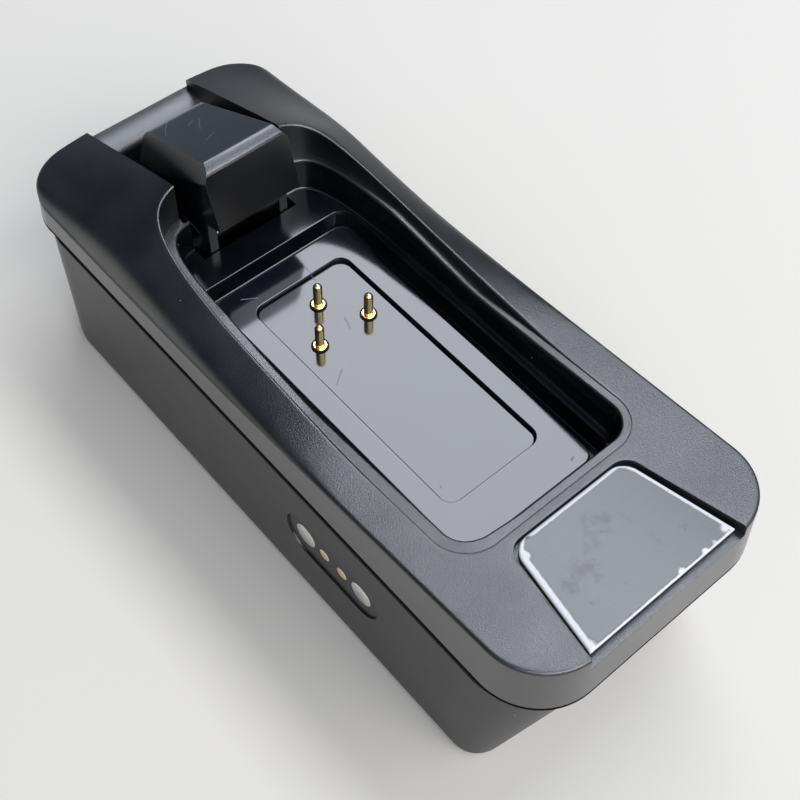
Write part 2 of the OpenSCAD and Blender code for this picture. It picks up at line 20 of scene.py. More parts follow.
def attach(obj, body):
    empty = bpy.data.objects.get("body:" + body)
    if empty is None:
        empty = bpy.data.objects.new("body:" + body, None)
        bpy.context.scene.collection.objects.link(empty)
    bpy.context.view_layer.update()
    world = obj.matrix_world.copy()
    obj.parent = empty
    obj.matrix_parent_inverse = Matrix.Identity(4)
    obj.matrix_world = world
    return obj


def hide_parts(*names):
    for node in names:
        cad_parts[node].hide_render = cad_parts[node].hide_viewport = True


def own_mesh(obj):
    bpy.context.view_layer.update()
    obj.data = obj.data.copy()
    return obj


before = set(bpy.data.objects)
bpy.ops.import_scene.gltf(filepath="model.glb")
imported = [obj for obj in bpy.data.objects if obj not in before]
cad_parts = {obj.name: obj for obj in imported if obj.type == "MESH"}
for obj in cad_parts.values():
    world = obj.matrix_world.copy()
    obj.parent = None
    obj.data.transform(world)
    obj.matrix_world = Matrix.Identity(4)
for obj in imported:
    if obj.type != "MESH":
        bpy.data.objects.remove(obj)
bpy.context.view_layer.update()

log = logging.getLogger("charger")
logging.basicConfig(level=logging.INFO, format="%(message)s")

Piece = bpy.types.Object
Socket = bpy.types.NodeSocket
Point = tuple[float, float, float]
Pairs = Sequence[tuple[float, float]]


class Body(Enum):
    """The rigid bodies that pieces ride on."""

    CHARGER = "charger"
    LATCH = "thumb_latch"
    PIN_BACK = "pin_back"
    PIN_LEFT = "pin_left"
    PIN_RIGHT = "pin_right"


class Zone(Enum):
    """The material zones of a shell, in slot order."""

    OUTER = 0
    SIDE = 1
    CRADLE = 2
    # painted shade of the seam gap, on the cover's lower rim
    SEAM_SHADE = 3


MM = 0.001
MM_IN_METRE = 1000.0
HALF_LENGTH = 44.5
SEAM = 21.5
PLATE = 21.8
TONGUE = SEAM + 1.1
FRONT_TOP = 7.6
PINS = (("back", Body.PIN_BACK, 0.0, 53.5), ("left", Body.PIN_LEFT, -3.55, 48.75),
        ("right", Body.PIN_RIGHT, 3.55, 48.75))
SCREW_X, SCREW_Y = 12.6, (10.2, 80.0)
FAR = 60.0


# Meshes

def to_metres(points: np.ndarray) -> np.ndarray:
    """Turns rows in millimetres from the front of the seam into metres from the middle of the body."""
    return (np.array(points, float).reshape(-1, 3) - (0.0, HALF_LENGTH, 0.0)) * MM


def add_object(name: str, data: bpy.types.ID) -> Piece:
    """Puts a mesh, a lamp or a camera into the scene, at the origin."""
    obj = bpy.data.objects.new(name, data)
    bpy.context.scene.collection.objects.link(obj)
    return obj


def mesh_piece(name: str, points: np.ndarray, faces: Sequence[Sequence[int]],
               zones: Sequence[int] | None = None) -> Piece:
    """Makes a piece with doubles merged and normals outward.

    Args:
        name: the piece's name.
        points: rows of x, y and z in millimetres.
        faces: the vertex indices of each face.
        zones: the material slot of each face.

    Returns:
        The piece, at the origin.
    """
    mesh = bpy.data.meshes.new(name)
    mesh.from_pydata([tuple(p) for p in to_metres(points)], [], [tuple(f) for f in faces])
    if zones is not None:
        mesh.polygons.foreach_set("material_index", list(zones))
    obj = add_object(name, mesh)
    clean(obj)
    return obj


def clean(obj: Piece, sharp: float = 38.0) -> None:
    """Merges doubles, turns faces outward and marks the edges above an angle in degrees as sharp."""
    bm = bmesh.new()
    bm.from_mesh(obj.data)
    bmesh.ops.remove_doubles(bm, verts=bm.verts, dist=4e-6)
    bmesh.ops.dissolve_degenerate(bm, edges=bm.edges, dist=1e-6)
    bmesh.ops.recalc_face_normals(bm, faces=bm.faces)
    for face in bm.faces:
        face.smooth = True
    for edge in bm.edges:
        edge.smooth = len(edge.link_faces) == 2 and edge.calc_face_angle(0.0) < math.radians(sharp)
    bm.to_mesh(obj.data)
    bm.free()


def bevel(obj: Piece, width: float, keep: Callable[[Vector, Vector], bool], angle: float = 40.0,
          segments: int = 2, dissolve: bool = False) -> None:
    """Rounds the edges of a piece that are sharper than an angle.

    Args:
        obj: the piece.
        width: the width of the rounding in millimetres.
        keep: takes an edge's two ends in millimetres and says whether it is rounded.
        angle: the angle in degrees above which an edge is rounded.
        segments: how many faces go round the edge.
        dissolve: whether flat neighbours are joined first.
    """
    bm = bmesh.new()
    bm.from_mesh(obj.data)
    shift = Vector((0, HALF_LENGTH, 0))

    def kept() -> list[bmesh.types.BMEdge]:
        """The edges that keep says yes to."""
        return [e for e in bm.edges if keep(*(v.co / MM + shift for v in e.verts))]

    if dissolve:
        near = kept()
        verts = list(dict.fromkeys(v for e in near for v in e.verts))
        bmesh.ops.dissolve_limit(bm, angle_limit=math.radians(0.4), verts=verts, edges=near,
                                 delimit={"MATERIAL"})
    edges = [e for e in kept() if len(e.link_faces) == 2 and e.calc_face_angle(0.0) > math.radians(angle)]
    bmesh.ops.bevel(bm, geom=edges, offset=width * MM, segments=segments, profile=0.5, affect="EDGES",
                    clamp_overlap=True)
    bm.to_mesh(obj.data)
    bm.free()
    clean(obj)


def settle(obj: Piece, modifier: bpy.types.Modifier) -> None:
    """Replaces a piece's mesh with what its modifier makes of it."""
    bpy.context.view_layer.update()
    graph = bpy.context.evaluated_depsgraph_get()
    result = bpy.data.meshes.new_from_object(obj.evaluated_get(graph))
    obj.modifiers.remove(modifier)
    obj.data = result


def cut(obj: Piece, tool: Piece, join: bool = False) -> None:
    """Cuts a tool's solid out of a piece, or joins it on, and removes the tool."""
    modifier = obj.modifiers.new("cut", "BOOLEAN")
    modifier.operation = "UNION" if join else "DIFFERENCE"
    modifier.solver = "EXACT"
    modifier.object = tool
    settle(obj, modifier)
    bpy.data.objects.remove(tool, do_unlink=True)
    clean(obj)


def weigh_normals(obj: Piece) -> None:
    """Gives flat faces the say in shading, so that narrow roundings beside them don't bend their light."""
    modifier = obj.modifiers.new("normals", "WEIGHTED_NORMAL")
    modifier.weight = 90
    modifier.keep_sharp = True
    settle(obj, modifier)


def join_half(*stretches: np.ndarray) -> np.ndarray:
    """Joins the stretches of an outline's right half, front to back, and mirrors them into a closed loop.

    Args:
        stretches: rows of x and y; each starts where the one before ends.

    Returns:
        Rows of x and y once round, counter-clockwise seen from above.
    """
    half = np.vstack([*(rows[:-1] for rows in stretches[:-1]), stretches[-1]])
    return np.vstack([half, half[-2:0:-1] * (-1.0, 1.0)])


def straight(x0: float, y0: float, x1: float, y1: float, steps: int) -> np.ndarray:
    """Rows of x and y on a straight line from one point to another."""
    return np.column_stack([np.linspace(x0, x1, steps + 1), np.linspace(y0, y1, steps + 1)])


def front_corner(half: float, y0: float, r: float, steps: int) -> np.ndarray:
    """The rounded front corner of an outline's right half."""
    a = np.linspace(0, math.pi / 2, steps + 1)
    return np.column_stack([half - r + r * np.sin(a), y0 + r - r * np.cos(a)])


@dataclass(frozen=True)
class Stations:
    """How many steps each stretch of an outline gets, so that every loop of a shell has the same count."""

    front: int = 12
    corner: int = 14
    side: int = 110
    turn: int = 34
    back: int = 14

    def rounded(self, half: float, y0: float, y1: float, r0: float, r1: float) -> np.ndarray:
        """A rounded rectangle's loop.

        Args:
            half: half its width.
            y0: its front.
            y1: its back.
            r0: radius of the front corners.
            r1: radius of the back corners.

        Returns:
            Rows of x and y.
        """
        b = np.linspace(0, math.pi / 2, self.turn + 1)
        return join_half(straight(0, y0, half - r0, y0, self.front), front_corner(half, y0, r0, self.corner),
                         straight(half, y0 + r0, half, y1 - r1, self.side),
                         np.column_stack([half - r1 + r1 * np.cos(b), y1 - r1 + r1 * np.sin(b)]),
                         straight(half - r1, y1, 0, y1, self.back))


SLAB_STATIONS = Stations(2, 12, 4, 12, 2)
Plan = tuple[float, float, float, float, float]


def offset(loop: np.ndarray, distance: float | np.ndarray) -> np.ndarray:
    """Moves a counter-clockwise loop's points outward along its normals, each or all by a distance."""
    tangent = np.roll(loop, -1, axis=0) - np.roll(loop, 1, axis=0)
    tangent /= np.maximum(np.linalg.norm(tangent, axis=1, keepdims=True), 1e-9)
    normal = np.column_stack([tangent[:, 1], -tangent[:, 0]])
    return loop + normal * np.reshape(distance, (-1, 1))


def quarter(steps: int, skip: int = 0) -> list[tuple[float, float]]:
    """Pairs of 1 - cos and 1 - sin over a quarter turn, less the first ones that are skipped."""
    return [(1 - math.cos(a), 1 - math.sin(a)) for a in np.radians(np.linspace(0, 90, steps + 1))[skip:]]


class Loft:
    """A closed skin stretched over a stack of loops that all have the same count."""

    def __init__(self) -> None:
        """Starts an empty stack."""
        self.loops: list[np.ndarray] = []
        self.bands: list[int] = []

    def add(self, plan: np.ndarray, z: float | np.ndarray, zone: Zone = Zone.OUTER) -> None:
        """Adds a loop; the band that leads to it belongs to a zone.

        Args:
            plan: rows of x and y.
            z: its height, for all points or for each.
            zone: the material zone of the band before it.
        """
        self.loops.append(np.column_stack([plan, np.broadcast_to(np.asarray(z, float), (len(plan),))]))
        self.bands.append(zone.value)

    def build(self, name: str) -> Piece:
        """Makes the closed piece, with a flat cap at each end of the stack."""
        n = len(self.loops[0])
        faces: list[tuple[int, ...]] = [tuple(range(n - 1, -1, -1))]
        zones = [self.bands[0]]
        for k in range(1, len(self.loops)):
            a, b = (k - 1) * n, k * n
            faces += [(a + i, a + (i + 1) % n, b + (i + 1) % n, b + i) for i in range(n)]
            zones += [self.bands[k]] * n
        last = (len(self.loops) - 1) * n
        faces.append(tuple(range(last, last + n)))
        zones.append(self.bands[-1])
        return mesh_piece(name, np.vstack(self.loops), faces, zones)


def lathe(name: str, profile: Pairs, centre: Point, axis: str = "Z", steps: int = 48,
          ring: bool = False) -> Piece:
    """Turns a profile about an axis.

    Args:
        name: the piece's name.
        profile: pairs of radius and height, from one end on the axis to the other.
        centre: where the profile's zero height stands.
        axis: "Z", or "X" for a profile whose heights run towards -X.
        steps: how many faces go round.
        ring: whether the profile closes on itself away from the axis.

    Returns:
        The piece.
    """
    points, faces = [], []
    for r, h in profile:
        for i in range(steps):
            a = 2 * math.pi * i / steps
            u, v = r * math.cos(a), r * math.sin(a)
            points.append((u, v, h) if axis == "Z" else (-h, u, v))
    last = (len(profile) - 1) * steps
    for k in range(0, last, steps):
        faces += [(k + i, k + (i + 1) % steps, k + steps + (i + 1) % steps, k + steps + i)
                  for i in range(steps)]
    if not ring:
        faces += [tuple(range(steps)), tuple(range(last, last + steps))]
    return mesh_piece(name, np.array(points) + np.array(centre), faces)


def rod(name: str, r: float, h0: float, h1: float, centre: Point, axis: str = "Z", steps: int = 48) -> Piece:
    """A plain cylinder between two heights on an axis; the rest is as in lathe."""
    return lathe(name, [(0, h0), (r, h0), (r, h1), (0, h1)], centre, axis, steps)


def bridge(name: str, first: np.ndarray, second: np.ndarray) -> Piece:
    """A solid between two flat loops of points that have the same count."""
    n = len(first)
    faces = [tuple(range(n)), tuple(range(2 * n - 1, n - 1, -1))]
    faces += [(i, n + i, n + (i + 1) % n, (i + 1) % n) for i in range(n)]
    return mesh_piece(name, np.vstack([first, second]), faces)


def prism_x(name: str, profile: Pairs, x0: float, x1: float) -> Piece:
    """Stretches a side view, as pairs of y and z, from one x to another."""
    return bridge(name, *(np.array([(x, y, z) for y, z in profile], float) for x in (x0, x1)))


def block(name: str, half: float, y0: float, y1: float, z0: float, z1: float) -> Piece:
    """A plain block that reaches equally far to both sides."""
    return prism_x(name, [(y0, z0), (y1, z0), (y1, z1), (y0, z1)], -half, half)


def prism_z(name: str, plan: np.ndarray, z0: float | np.ndarray, z1: float | np.ndarray) -> Piece:
    """Stretches a plan, as rows of x and y, between two heights that may vary from point to point."""
    return bridge(name, *(np.column_stack([plan, np.broadcast_to(np.asarray(z, float), (len(plan),))])
                          for z in (z0, z1)))


def rounded_slab(name: str, half: float, y0: float, y1: float, r: float, z0: float, z1: float,
                 edge: float) -> Piece:
    """A flat plate with rounded corners and a softened top edge.

    Args:
        name: the piece's name.
        half: half its width.
        y0: its front.
        y1: its back.
        r: corner radius.
        z0: underside.
        z1: top.
        edge: radius of the top edge.

    Returns:
        The piece.
    """
    plan = SLAB_STATIONS.rounded(half, y0, y1, r, r)
    skin = Loft()
    skin.add(plan, z0)
    skin.add(plan, z1 - edge)
    for c, s in quarter(4, 1):
        skin.add(offset(plan, -edge * c), z1 - edge * s)
    return skin.build(name)


# Materials

class Tree:
    """A thin helper over a node tree."""

    prefix = "ShaderNode"

    def __init__(self, tree: bpy.types.NodeTree) -> None:
        """Keeps the tree."""
        self.tree = tree

    def fill(self, port: Socket, value: object) -> None:
        """Links a socket to an input, or sets the input's own value."""
        if isinstance(value, Socket):
            self.tree.links.new(value, port)
        else:
            port.default_value = value

    def node(self, kind: str, **values: object) -> bpy.types.Node:
        """Adds a node.

        Args:
            kind: the node's type name after the prefix.
            values: its properties, or its inputs by name with _ for spaces, as sockets or values.

        Returns:
            The node.
        """
        made = self.tree.nodes.new(self.prefix + kind)
        for key, value in values.items():
            if hasattr(made, key):
                setattr(made, key, value)
            else:
                self.fill(made.inputs[key.replace("_", " ")], value)
        return made

    def math(self, operation: str, a: object, b: object = 0.0) -> Socket:
        """What a Math node makes of two sockets or numbers."""
        made = self.node("Math", operation=operation)
        self.fill(made.inputs[0], a)
        self.fill(made.inputs[1], b)
        return made.outputs[0]

    def plus(self, a: object, b: object) -> Socket:
        """The sum of two sockets or numbers."""
        return self.math("ADD", a, b)

    def times(self, a: object, b: object) -> Socket:
        """The product of two sockets or numbers."""
        return self.math("MULTIPLY", a, b)

    def mix(self, factor: object, a: object, b: object, colour: bool = True) -> Socket:
        """Blends from a to b, which are colours or else numbers, by a factor; all are sockets or values."""
        made = self.node("Mix", data_type="RGBA" if colour else "FLOAT")
        for port, value in zip((0, 6, 7) if colour else (0, 2, 3), (factor, a, b)):
            self.fill(made.inputs[port], value)
        return made.outputs[2 if colour else 0]

    def ramp(self, value: Socket, low: float, high: float) -> Socket:
        """A smooth step from 0 at low to 1 at high."""
        return self.node("MapRange", interpolation_type="SMOOTHSTEP", Value=value, From_Min=low,
                         From_Max=high).outputs["Result"]

    def noise(self, place: Socket, scale: object, detail: float, roughness: float = 0.5) -> Socket:
        """A Noise Texture's value at a place."""
        made = self.node("TexNoise", Vector=place, Scale=scale, Detail=detail, Roughness=roughness)
        return made.outputs["Fac"]


class SharedGroup(Tree):
    """A shader node group that several finishes use, with a Place input and float inputs and outputs."""

    def __init__(self, name: str, inputs: dict[str, float], outputs: Sequence[str]) -> None:
        """Starts the group.

        Args:
            name: the group's name.
            inputs: its float inputs and their defaults.
            outputs: its outputs.
        """
        super().__init__(bpy.data.node_groups.new(name, "ShaderNodeTree"))
        face = self.tree.interface
        face.new_socket("Place", in_out="INPUT", socket_type="NodeSocketVector")
        for key, value in inputs.items():
            face.new_socket(key, in_out="INPUT", socket_type="NodeSocketFloat").default_value = value
        for key in outputs:
            face.new_socket(key, in_out="OUTPUT", socket_type="NodeSocketFloat")
        self.inside = self.tree.nodes.new("NodeGroupInput").outputs
        self.out = self.tree.nodes.new("NodeGroupOutput").inputs


def moulded_grain() -> bpy.types.NodeTree:
    """Fine moulded grain as a height, with a slow unevenness under it."""
    t = SharedGroup("moulded_grain", {"Size": 0.14, "Wave": 6.0}, ("Height", "Mottle"))
    for size, output, detail, roughness in (("Size", "Height", 3.0, 0.6), ("Wave", "Mottle", 2.0, 0.5)):
        scale = t.math("DIVIDE", MM_IN_METRE, t.inside[size])
        t.fill(t.out[output], t.noise(t.inside["Place"], scale, detail, roughness))
    return t.tree


def dust_specks() -> bpy.types.NodeTree:
    """Sparse pale specks of dust, of several sizes."""
    t = SharedGroup("dust_specks", {"Size": 1.1, "Amount": 0.06}, ("Mask",))
    cells = t.node("TexVoronoi", Randomness=1.0, Vector=t.inside["Place"],
                   Scale=t.math("DIVIDE", MM_IN_METRE, t.inside["Size"])).outputs
    pick = t.node("SeparateColor", Color=cells["Color"]).outputs
    radius = t.times(t.times(pick[0], pick[1]), t.times(t.inside["Amount"], 2.2))
    near = t.math("LESS_THAN", cells["Distance"], radius)
    t.fill(t.out["Mask"], t.times(near, t.math("GREATER_THAN", pick[2], 0.45)))
    return t.tree


def hair_scratches() -> bpy.types.NodeTree:
    """Thin curved hair scratches that come and go, in three directions."""
    t = SharedGroup("hair_scratches", {"Spacing": 7.0, "Width": 0.012, "Amount": 0.5}, ("Mask",))
    total: object = 0.0
    for turn, seed in ((0.35, 1.7), (1.3, 5.1), (2.4, 9.4)):
        bent = t.node("Mapping", Vector=t.inside["Place"], Rotation=(0.2, 0.3, turn),
                      Location=(seed * 0.01, seed * 0.02, 0)).outputs["Vector"]
        across = t.node("SeparateXYZ", Vector=bent).outputs[0]
        swung = t.plus(across, t.times(t.noise(bent, 55.0, 0.0), 0.012))
        stripes = t.math("FRACT", t.math("DIVIDE", swung, t.times(t.inside["Spacing"], MM)))
        line = t.math("LESS_THAN", t.math("ABSOLUTE", t.math("SUBTRACT", stripes, 0.5)), t.inside["Width"])
        rarity = t.math("SUBTRACT", 0.75, t.times(t.inside["Amount"], 0.2))
        here = t.math("GREATER_THAN", t.noise(bent, 140.0, 1.0), rarity)
        total = t.math("MAXIMUM", total, t.times(line, here))
    t.fill(t.out["Mask"], total)
    return t.tree


class SharedEffects:
    """The shared node groups, built once."""

    def __init__(self) -> None:
        """Builds the groups."""
        self.grain = moulded_grain()
        self.dust = dust_specks()
        self.scratches = hair_scratches()


class Surface(Tree):
    """A new material with its shader and the place on the object."""

    def __init__(self, name: str) -> None:
        """Starts the material."""
        self.material = bpy.data.materials.new(name)
        self.material.use_nodes = True
        super().__init__(self.material.node_tree)
        self.shader = self.tree.nodes["Principled BSDF"]
        self.place = self.node("TexCoord").outputs["Object"]

    def effect(self, group: bpy.types.NodeTree, **inputs: float) -> bpy.types.bpy_prop_collection:
        """Adds a shared group at the object's place and gives its outputs."""
        return self.node("Group", node_tree=group, Place=self.place, **inputs).outputs

    def relief(self, height: Socket, depth: float) -> None:
        """Raises the surface by a height of up to so many millimetres."""
        self.set(Normal=self.node("Bump", Strength=1.0, Distance=depth * MM, Height=height).outputs["Normal"])

    def set(self, **values: object) -> None:
        """Fills the shader's inputs by name, with _ for spaces."""
        for key, value in values.items():
            self.fill(self.shader.inputs[key.replace("_", " ")], value)


@dataclass(frozen=True)
class Finish:
    """What a surface looks like."""

    name: str

    def make(self, effects: SharedEffects) -> bpy.types.Material:
        """Builds the material on the shared node groups."""
        t = Surface(self.name)
        self.paint(t, effects)
        return t.material

    def paint(self, t: Surface, effects: SharedEffects) -> None:
        """Fills the shader; each kind of finish has its own."""
        raise NotImplementedError


@dataclass(frozen=True)
class Plastic(Finish):
    """A moulded plastic: its colour, gloss, grain, dust and scratches."""

    colour: Point
    roughness: float
    grain_size: float = 0.14
    grain_depth: float = 0.0
    rough_spread: float = 0.08
    dust: float = 0.0
    dust_size: float = 1.1
    scratch: float = 0.0
    scratch_spacing: float = 7.0
    specular: float = 0.5
    coat: float = 0.0

    def paint(self, t: Surface, effects: SharedEffects) -> None:
        """Fills the shader with mottled colour, and with scratches, dust and grain where there are any."""
        grain = t.effect(effects.grain, Size=self.grain_size)
        lighter = (*(min(1.0, c * 1.25 + 0.0012) for c in self.colour), 1.0)
        colour = t.mix(t.ramp(grain["Mottle"], 0.35, 0.7), (*self.colour, 1.0), lighter)
        rough = t.plus(self.roughness - self.rough_spread / 2, t.times(grain["Mottle"], self.rough_spread))
        if self.scratch:
            lines = t.effect(effects.scratches, Amount=self.scratch, Spacing=self.scratch_spacing)["Mask"]
            colour = t.mix(t.times(lines, 0.35), colour, (0.16, 0.16, 0.16, 1))
            rough = t.plus(rough, t.times(lines, 0.25))
        if self.dust:
            specks = t.effect(effects.dust, Amount=self.dust, Size=self.dust_size)["Mask"]
            colour = t.mix(specks, colour, (0.42, 0.42, 0.40, 1))
            rough = t.math("MAXIMUM", rough, t.times(specks, 0.8))
        if self.grain_depth:
            t.relief(grain["Height"], self.grain_depth)
        t.set(Base_Color=colour, Roughness=rough, Specular_IOR_Level=self.specular, Coat_Weight=self.coat)


@dataclass(frozen=True)
class Metal(Finish):
    """A bare or plated metal with a fine unevenness."""

    colour: Point
    roughness: float
    tarnish: Point = (0.2, 0.2, 0.2)
    tarnish_amount: float = 0.15

    def paint(self, t: Surface, effects: SharedEffects) -> None:
        """Fills the shader with metal and its tarnish."""
        mottle = t.effect(effects.grain, Size=0.09, Wave=0.7)["Mottle"]
        worn = t.times(t.ramp(mottle, 0.45, 0.75), self.tarnish_amount)
        t.set(Base_Color=t.mix(worn, (*self.colour, 1), (*self.tarnish, 1)), Metallic=1.0,
              Roughness=t.plus(self.roughness - 0.04, t.times(mottle, 0.12)))


@dataclass(frozen=True)
class SmokedWindow(Finish):
    """Smoked window plastic with pale dried residue where the plate's residue and stain attributes say."""

    def paint(self, t: Surface, effects: SharedEffects) -> None:
        """Fills the shader with the clear plastic, its smears, its dust and the crust along its edges."""
        residue, stain = (t.node("Attribute", attribute_name=key).outputs["Fac"]
                          for key in ("residue", "stain"))
        coarse, fine = t.noise(t.place, 1500.0, 5.0, 0.65), t.noise(t.place, 5200.0, 4.0, 0.7)
        cloud = t.noise(t.place, 620.0, 6.0, 0.78)
        wobble = t.math("SUBTRACT", t.plus(t.times(coarse, 0.55), t.times(fine, 0.45)), 0.5)
        edge = t.ramp(t.plus(residue, t.times(wobble, 0.4)), 0.40, 0.66)
        smear = t.ramp(t.plus(stain, t.times(t.math("SUBTRACT", cloud, 0.5), 2.6)), 0.38, 0.95)
        colour = t.mix(t.times(smear, 0.5), (0.030, 0.031, 0.034, 1), (0.22, 0.22, 0.215, 1))
        colour = t.mix(t.effect(effects.dust, Size=0.8, Amount=0.025)["Mask"], colour, (0.36, 0.36, 0.34, 1))
        t.set(Base_Color=t.mix(edge, colour, (0.47, 0.47, 0.465, 1)),
              Roughness=t.mix(edge, t.mix(smear, 0.26, 0.6, False), 0.85, False))
        t.relief(t.times(edge, fine), 0.05)


@dataclass(frozen=True)
class SolderMask(Finish):
    """Green solder mask with the faint relief of copper tracks under it."""

    def paint(self, t: Surface, effects: SharedEffects) -> None:
        """Fills the shader with the tracks' pattern."""
        tracks = t.node("TexBrick", Vector=t.place, Scale=260.0, Mortar_Size=0.06,
                        Mortar=(0.03, 0.2, 0.09, 1), Color1=(0.010, 0.11, 0.055, 1),
                        Color2=(0.012, 0.13, 0.065, 1))
        t.set(Base_Color=tracks.outputs["Color"],
              Roughness=t.plus(0.25, t.times(t.effect(effects.grain)["Mottle"], 0.15)))


FINISHES: dict[str, Finish] = {
    "cover": Plastic("cover_grain", (0.0014, 0.0018, 0.0024), 0.36, grain_size=0.17, grain_depth=0.036,
                     rough_spread=0.16, dust=0.02, dust_size=1.2, specular=1.0),
    "band": Plastic("cover_band", (0.0045, 0.005, 0.006), 0.32, grain_size=0.2, grain_depth=0.012,
                    dust=0.02, dust_size=1.4, specular=1.0, coat=0.35),
    "base": Plastic("base_satin", (0.0055, 0.0058, 0.0064), 0.36, grain_size=0.22, grain_depth=0.012,
                    dust=0.03, dust_size=2.2, scratch=0.35, scratch_spacing=9),
    "cradle": Plastic("cradle_gloss", (0.0018, 0.0022, 0.0034), 0.16, dust=0.03, dust_size=1.5),
    "plate": Plastic("plate_gloss", (0.0035, 0.0042, 0.0058), 0.10, rough_spread=0.05,
                     dust=0.035, dust_size=1.6, scratch=0.25, scratch_spacing=6),
    "latch": Plastic("latch_satin", (0.0012, 0.0015, 0.0022), 0.24, grain_size=0.2, grain_depth=0.008,
                     specular=0.7, dust=0.03, scratch=0.5, scratch_spacing=5),
    # painted shade: a near-black, dull finish for the cover's lower rim that stands in for the shadow in the
    # seam gap
    "shade": Plastic("rim_shade", (0.001, 0.001, 0.0012), 0.85, grain_size=0.2, grain_depth=0.01,
                     specular=0.05),
    "port": Plastic("port_satin", (0.012, 0.012, 0.013), 0.42, grain_size=0.16, grain_depth=0.015),
    "rubber": Plastic("rubber_matte", (0.003, 0.003, 0.003), 0.8, grain_size=0.1, grain_depth=0.02,
                      specular=0.2),
    "chip": Plastic("chip_moulding", (0.02, 0.02, 0.021), 0.55, grain_size=0.08, grain_depth=0.01),
    "ferrite": Plastic("ferrite_grey", (0.05, 0.05, 0.055), 0.6, grain_size=0.2, grain_depth=0.02),
    "ceramic": Plastic("fired_ceramic", (0.42, 0.30, 0.17), 0.5, grain_size=0.2, grain_depth=0.01),
    "light": Plastic("light_dome", (0.8, 0.79, 0.74), 0.2, grain_size=0.3, grain_depth=0.004),
    "gold": Metal("gold_plate", (0.95, 0.70, 0.30), 0.2, (0.5, 0.3, 0.1), 0.25),
    "pale_gold": Metal("pale_gold_plate", (0.90, 0.78, 0.46), 0.26, (0.5, 0.4, 0.2), 0.3),
    "nickel": Metal("nickel_plate", (0.78, 0.77, 0.74), 0.3, (0.35, 0.34, 0.3), 0.35),
    "steel": Metal("spring_steel", (0.6, 0.6, 0.62), 0.24),
    "window": SmokedWindow("smoked_window"),
    "board": SolderMask("solder_mask"),
}


def dress(obj: Piece, *materials: bpy.types.Material) -> None:
    """Gives a piece its materials, in slot order, and keeps its faces' zones."""
    zones = np.zeros(len(obj.data.polygons), np.int32)
    obj.data.polygons.foreach_get("material_index", zones)
    obj.data.materials.clear()
    for material in materials:
        obj.data.materials.append(material)
    obj.data.polygons.foreach_set("material_index", np.minimum(zones, len(materials) - 1))


@dataclass
class Maker:
    """What all makers of pieces share: the materials by name, and the last steps of a piece."""

    palette: dict[str, bpy.types.Material]

    def seat(self, obj: Piece, finishes: str, slot: str, *nodes: str, body: Body = Body.CHARGER) -> None:
        """Gives a piece its looks and puts it on its body, in place of the named solids.

        Args:
            obj: the piece.
            finishes: its finishes in slot order, with spaces between.
            slot: its material slot; not used.
            nodes: the solids that it stands for.
            body: what it moves with.
        """
        dress(obj, *(self.palette[key] for key in finishes.split()))
        weigh_normals(obj)
        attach(obj, body.value)
        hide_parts(*nodes)
        log.info("%s: %d faces on %s", obj.name, len(obj.data.polygons), body.value)


# Shells

def smooth_max(a: np.ndarray, b: np.ndarray | float, k: float) -> np.ndarray:
    """The larger of two values, rounded over k where they meet."""
    return (a + b + np.sqrt((a - b) ** 2 + k * k)) / 2


def smooth_min(a: np.ndarray, b: np.ndarray, k: float) -> np.ndarray:
    """The smaller of two values, rounded over k where they meet."""
    return (a + b - np.sqrt((a - b) ** 2 + k * k)) / 2


@dataclass(frozen=True)
class WindowBed:
    """The outline of the bed that the front window lies in, which narrows towards the back."""

    front: float = -1.5
    back: float = 14.2
    radius: float = 2.1
    arc_lead: float = 0.3
    front_half: float = 10.9
    taper: float = 0.184
    depth: float = 1.5
    slope: float = 0.0324

    def half(self, y: np.ndarray | float) -> np.ndarray | float:
        """Half width at a station."""
        return self.front_half - self.taper * (y + 1)

    def plan(self) -> np.ndarray:
        """Rows of x and y once round."""
        r, turn = self.radius, self.back - self.radius
        cx = self.half(turn) - r
        right = [(self.half(y), y) for y in (self.front, turn - self.arc_lead)]
        right += [(cx + r * math.cos(t), turn + r * math.sin(t)) for t in np.radians(np.linspace(8, 90, 10))]
        return np.array(right + [(-x, y) for x, y in right[::-1]])


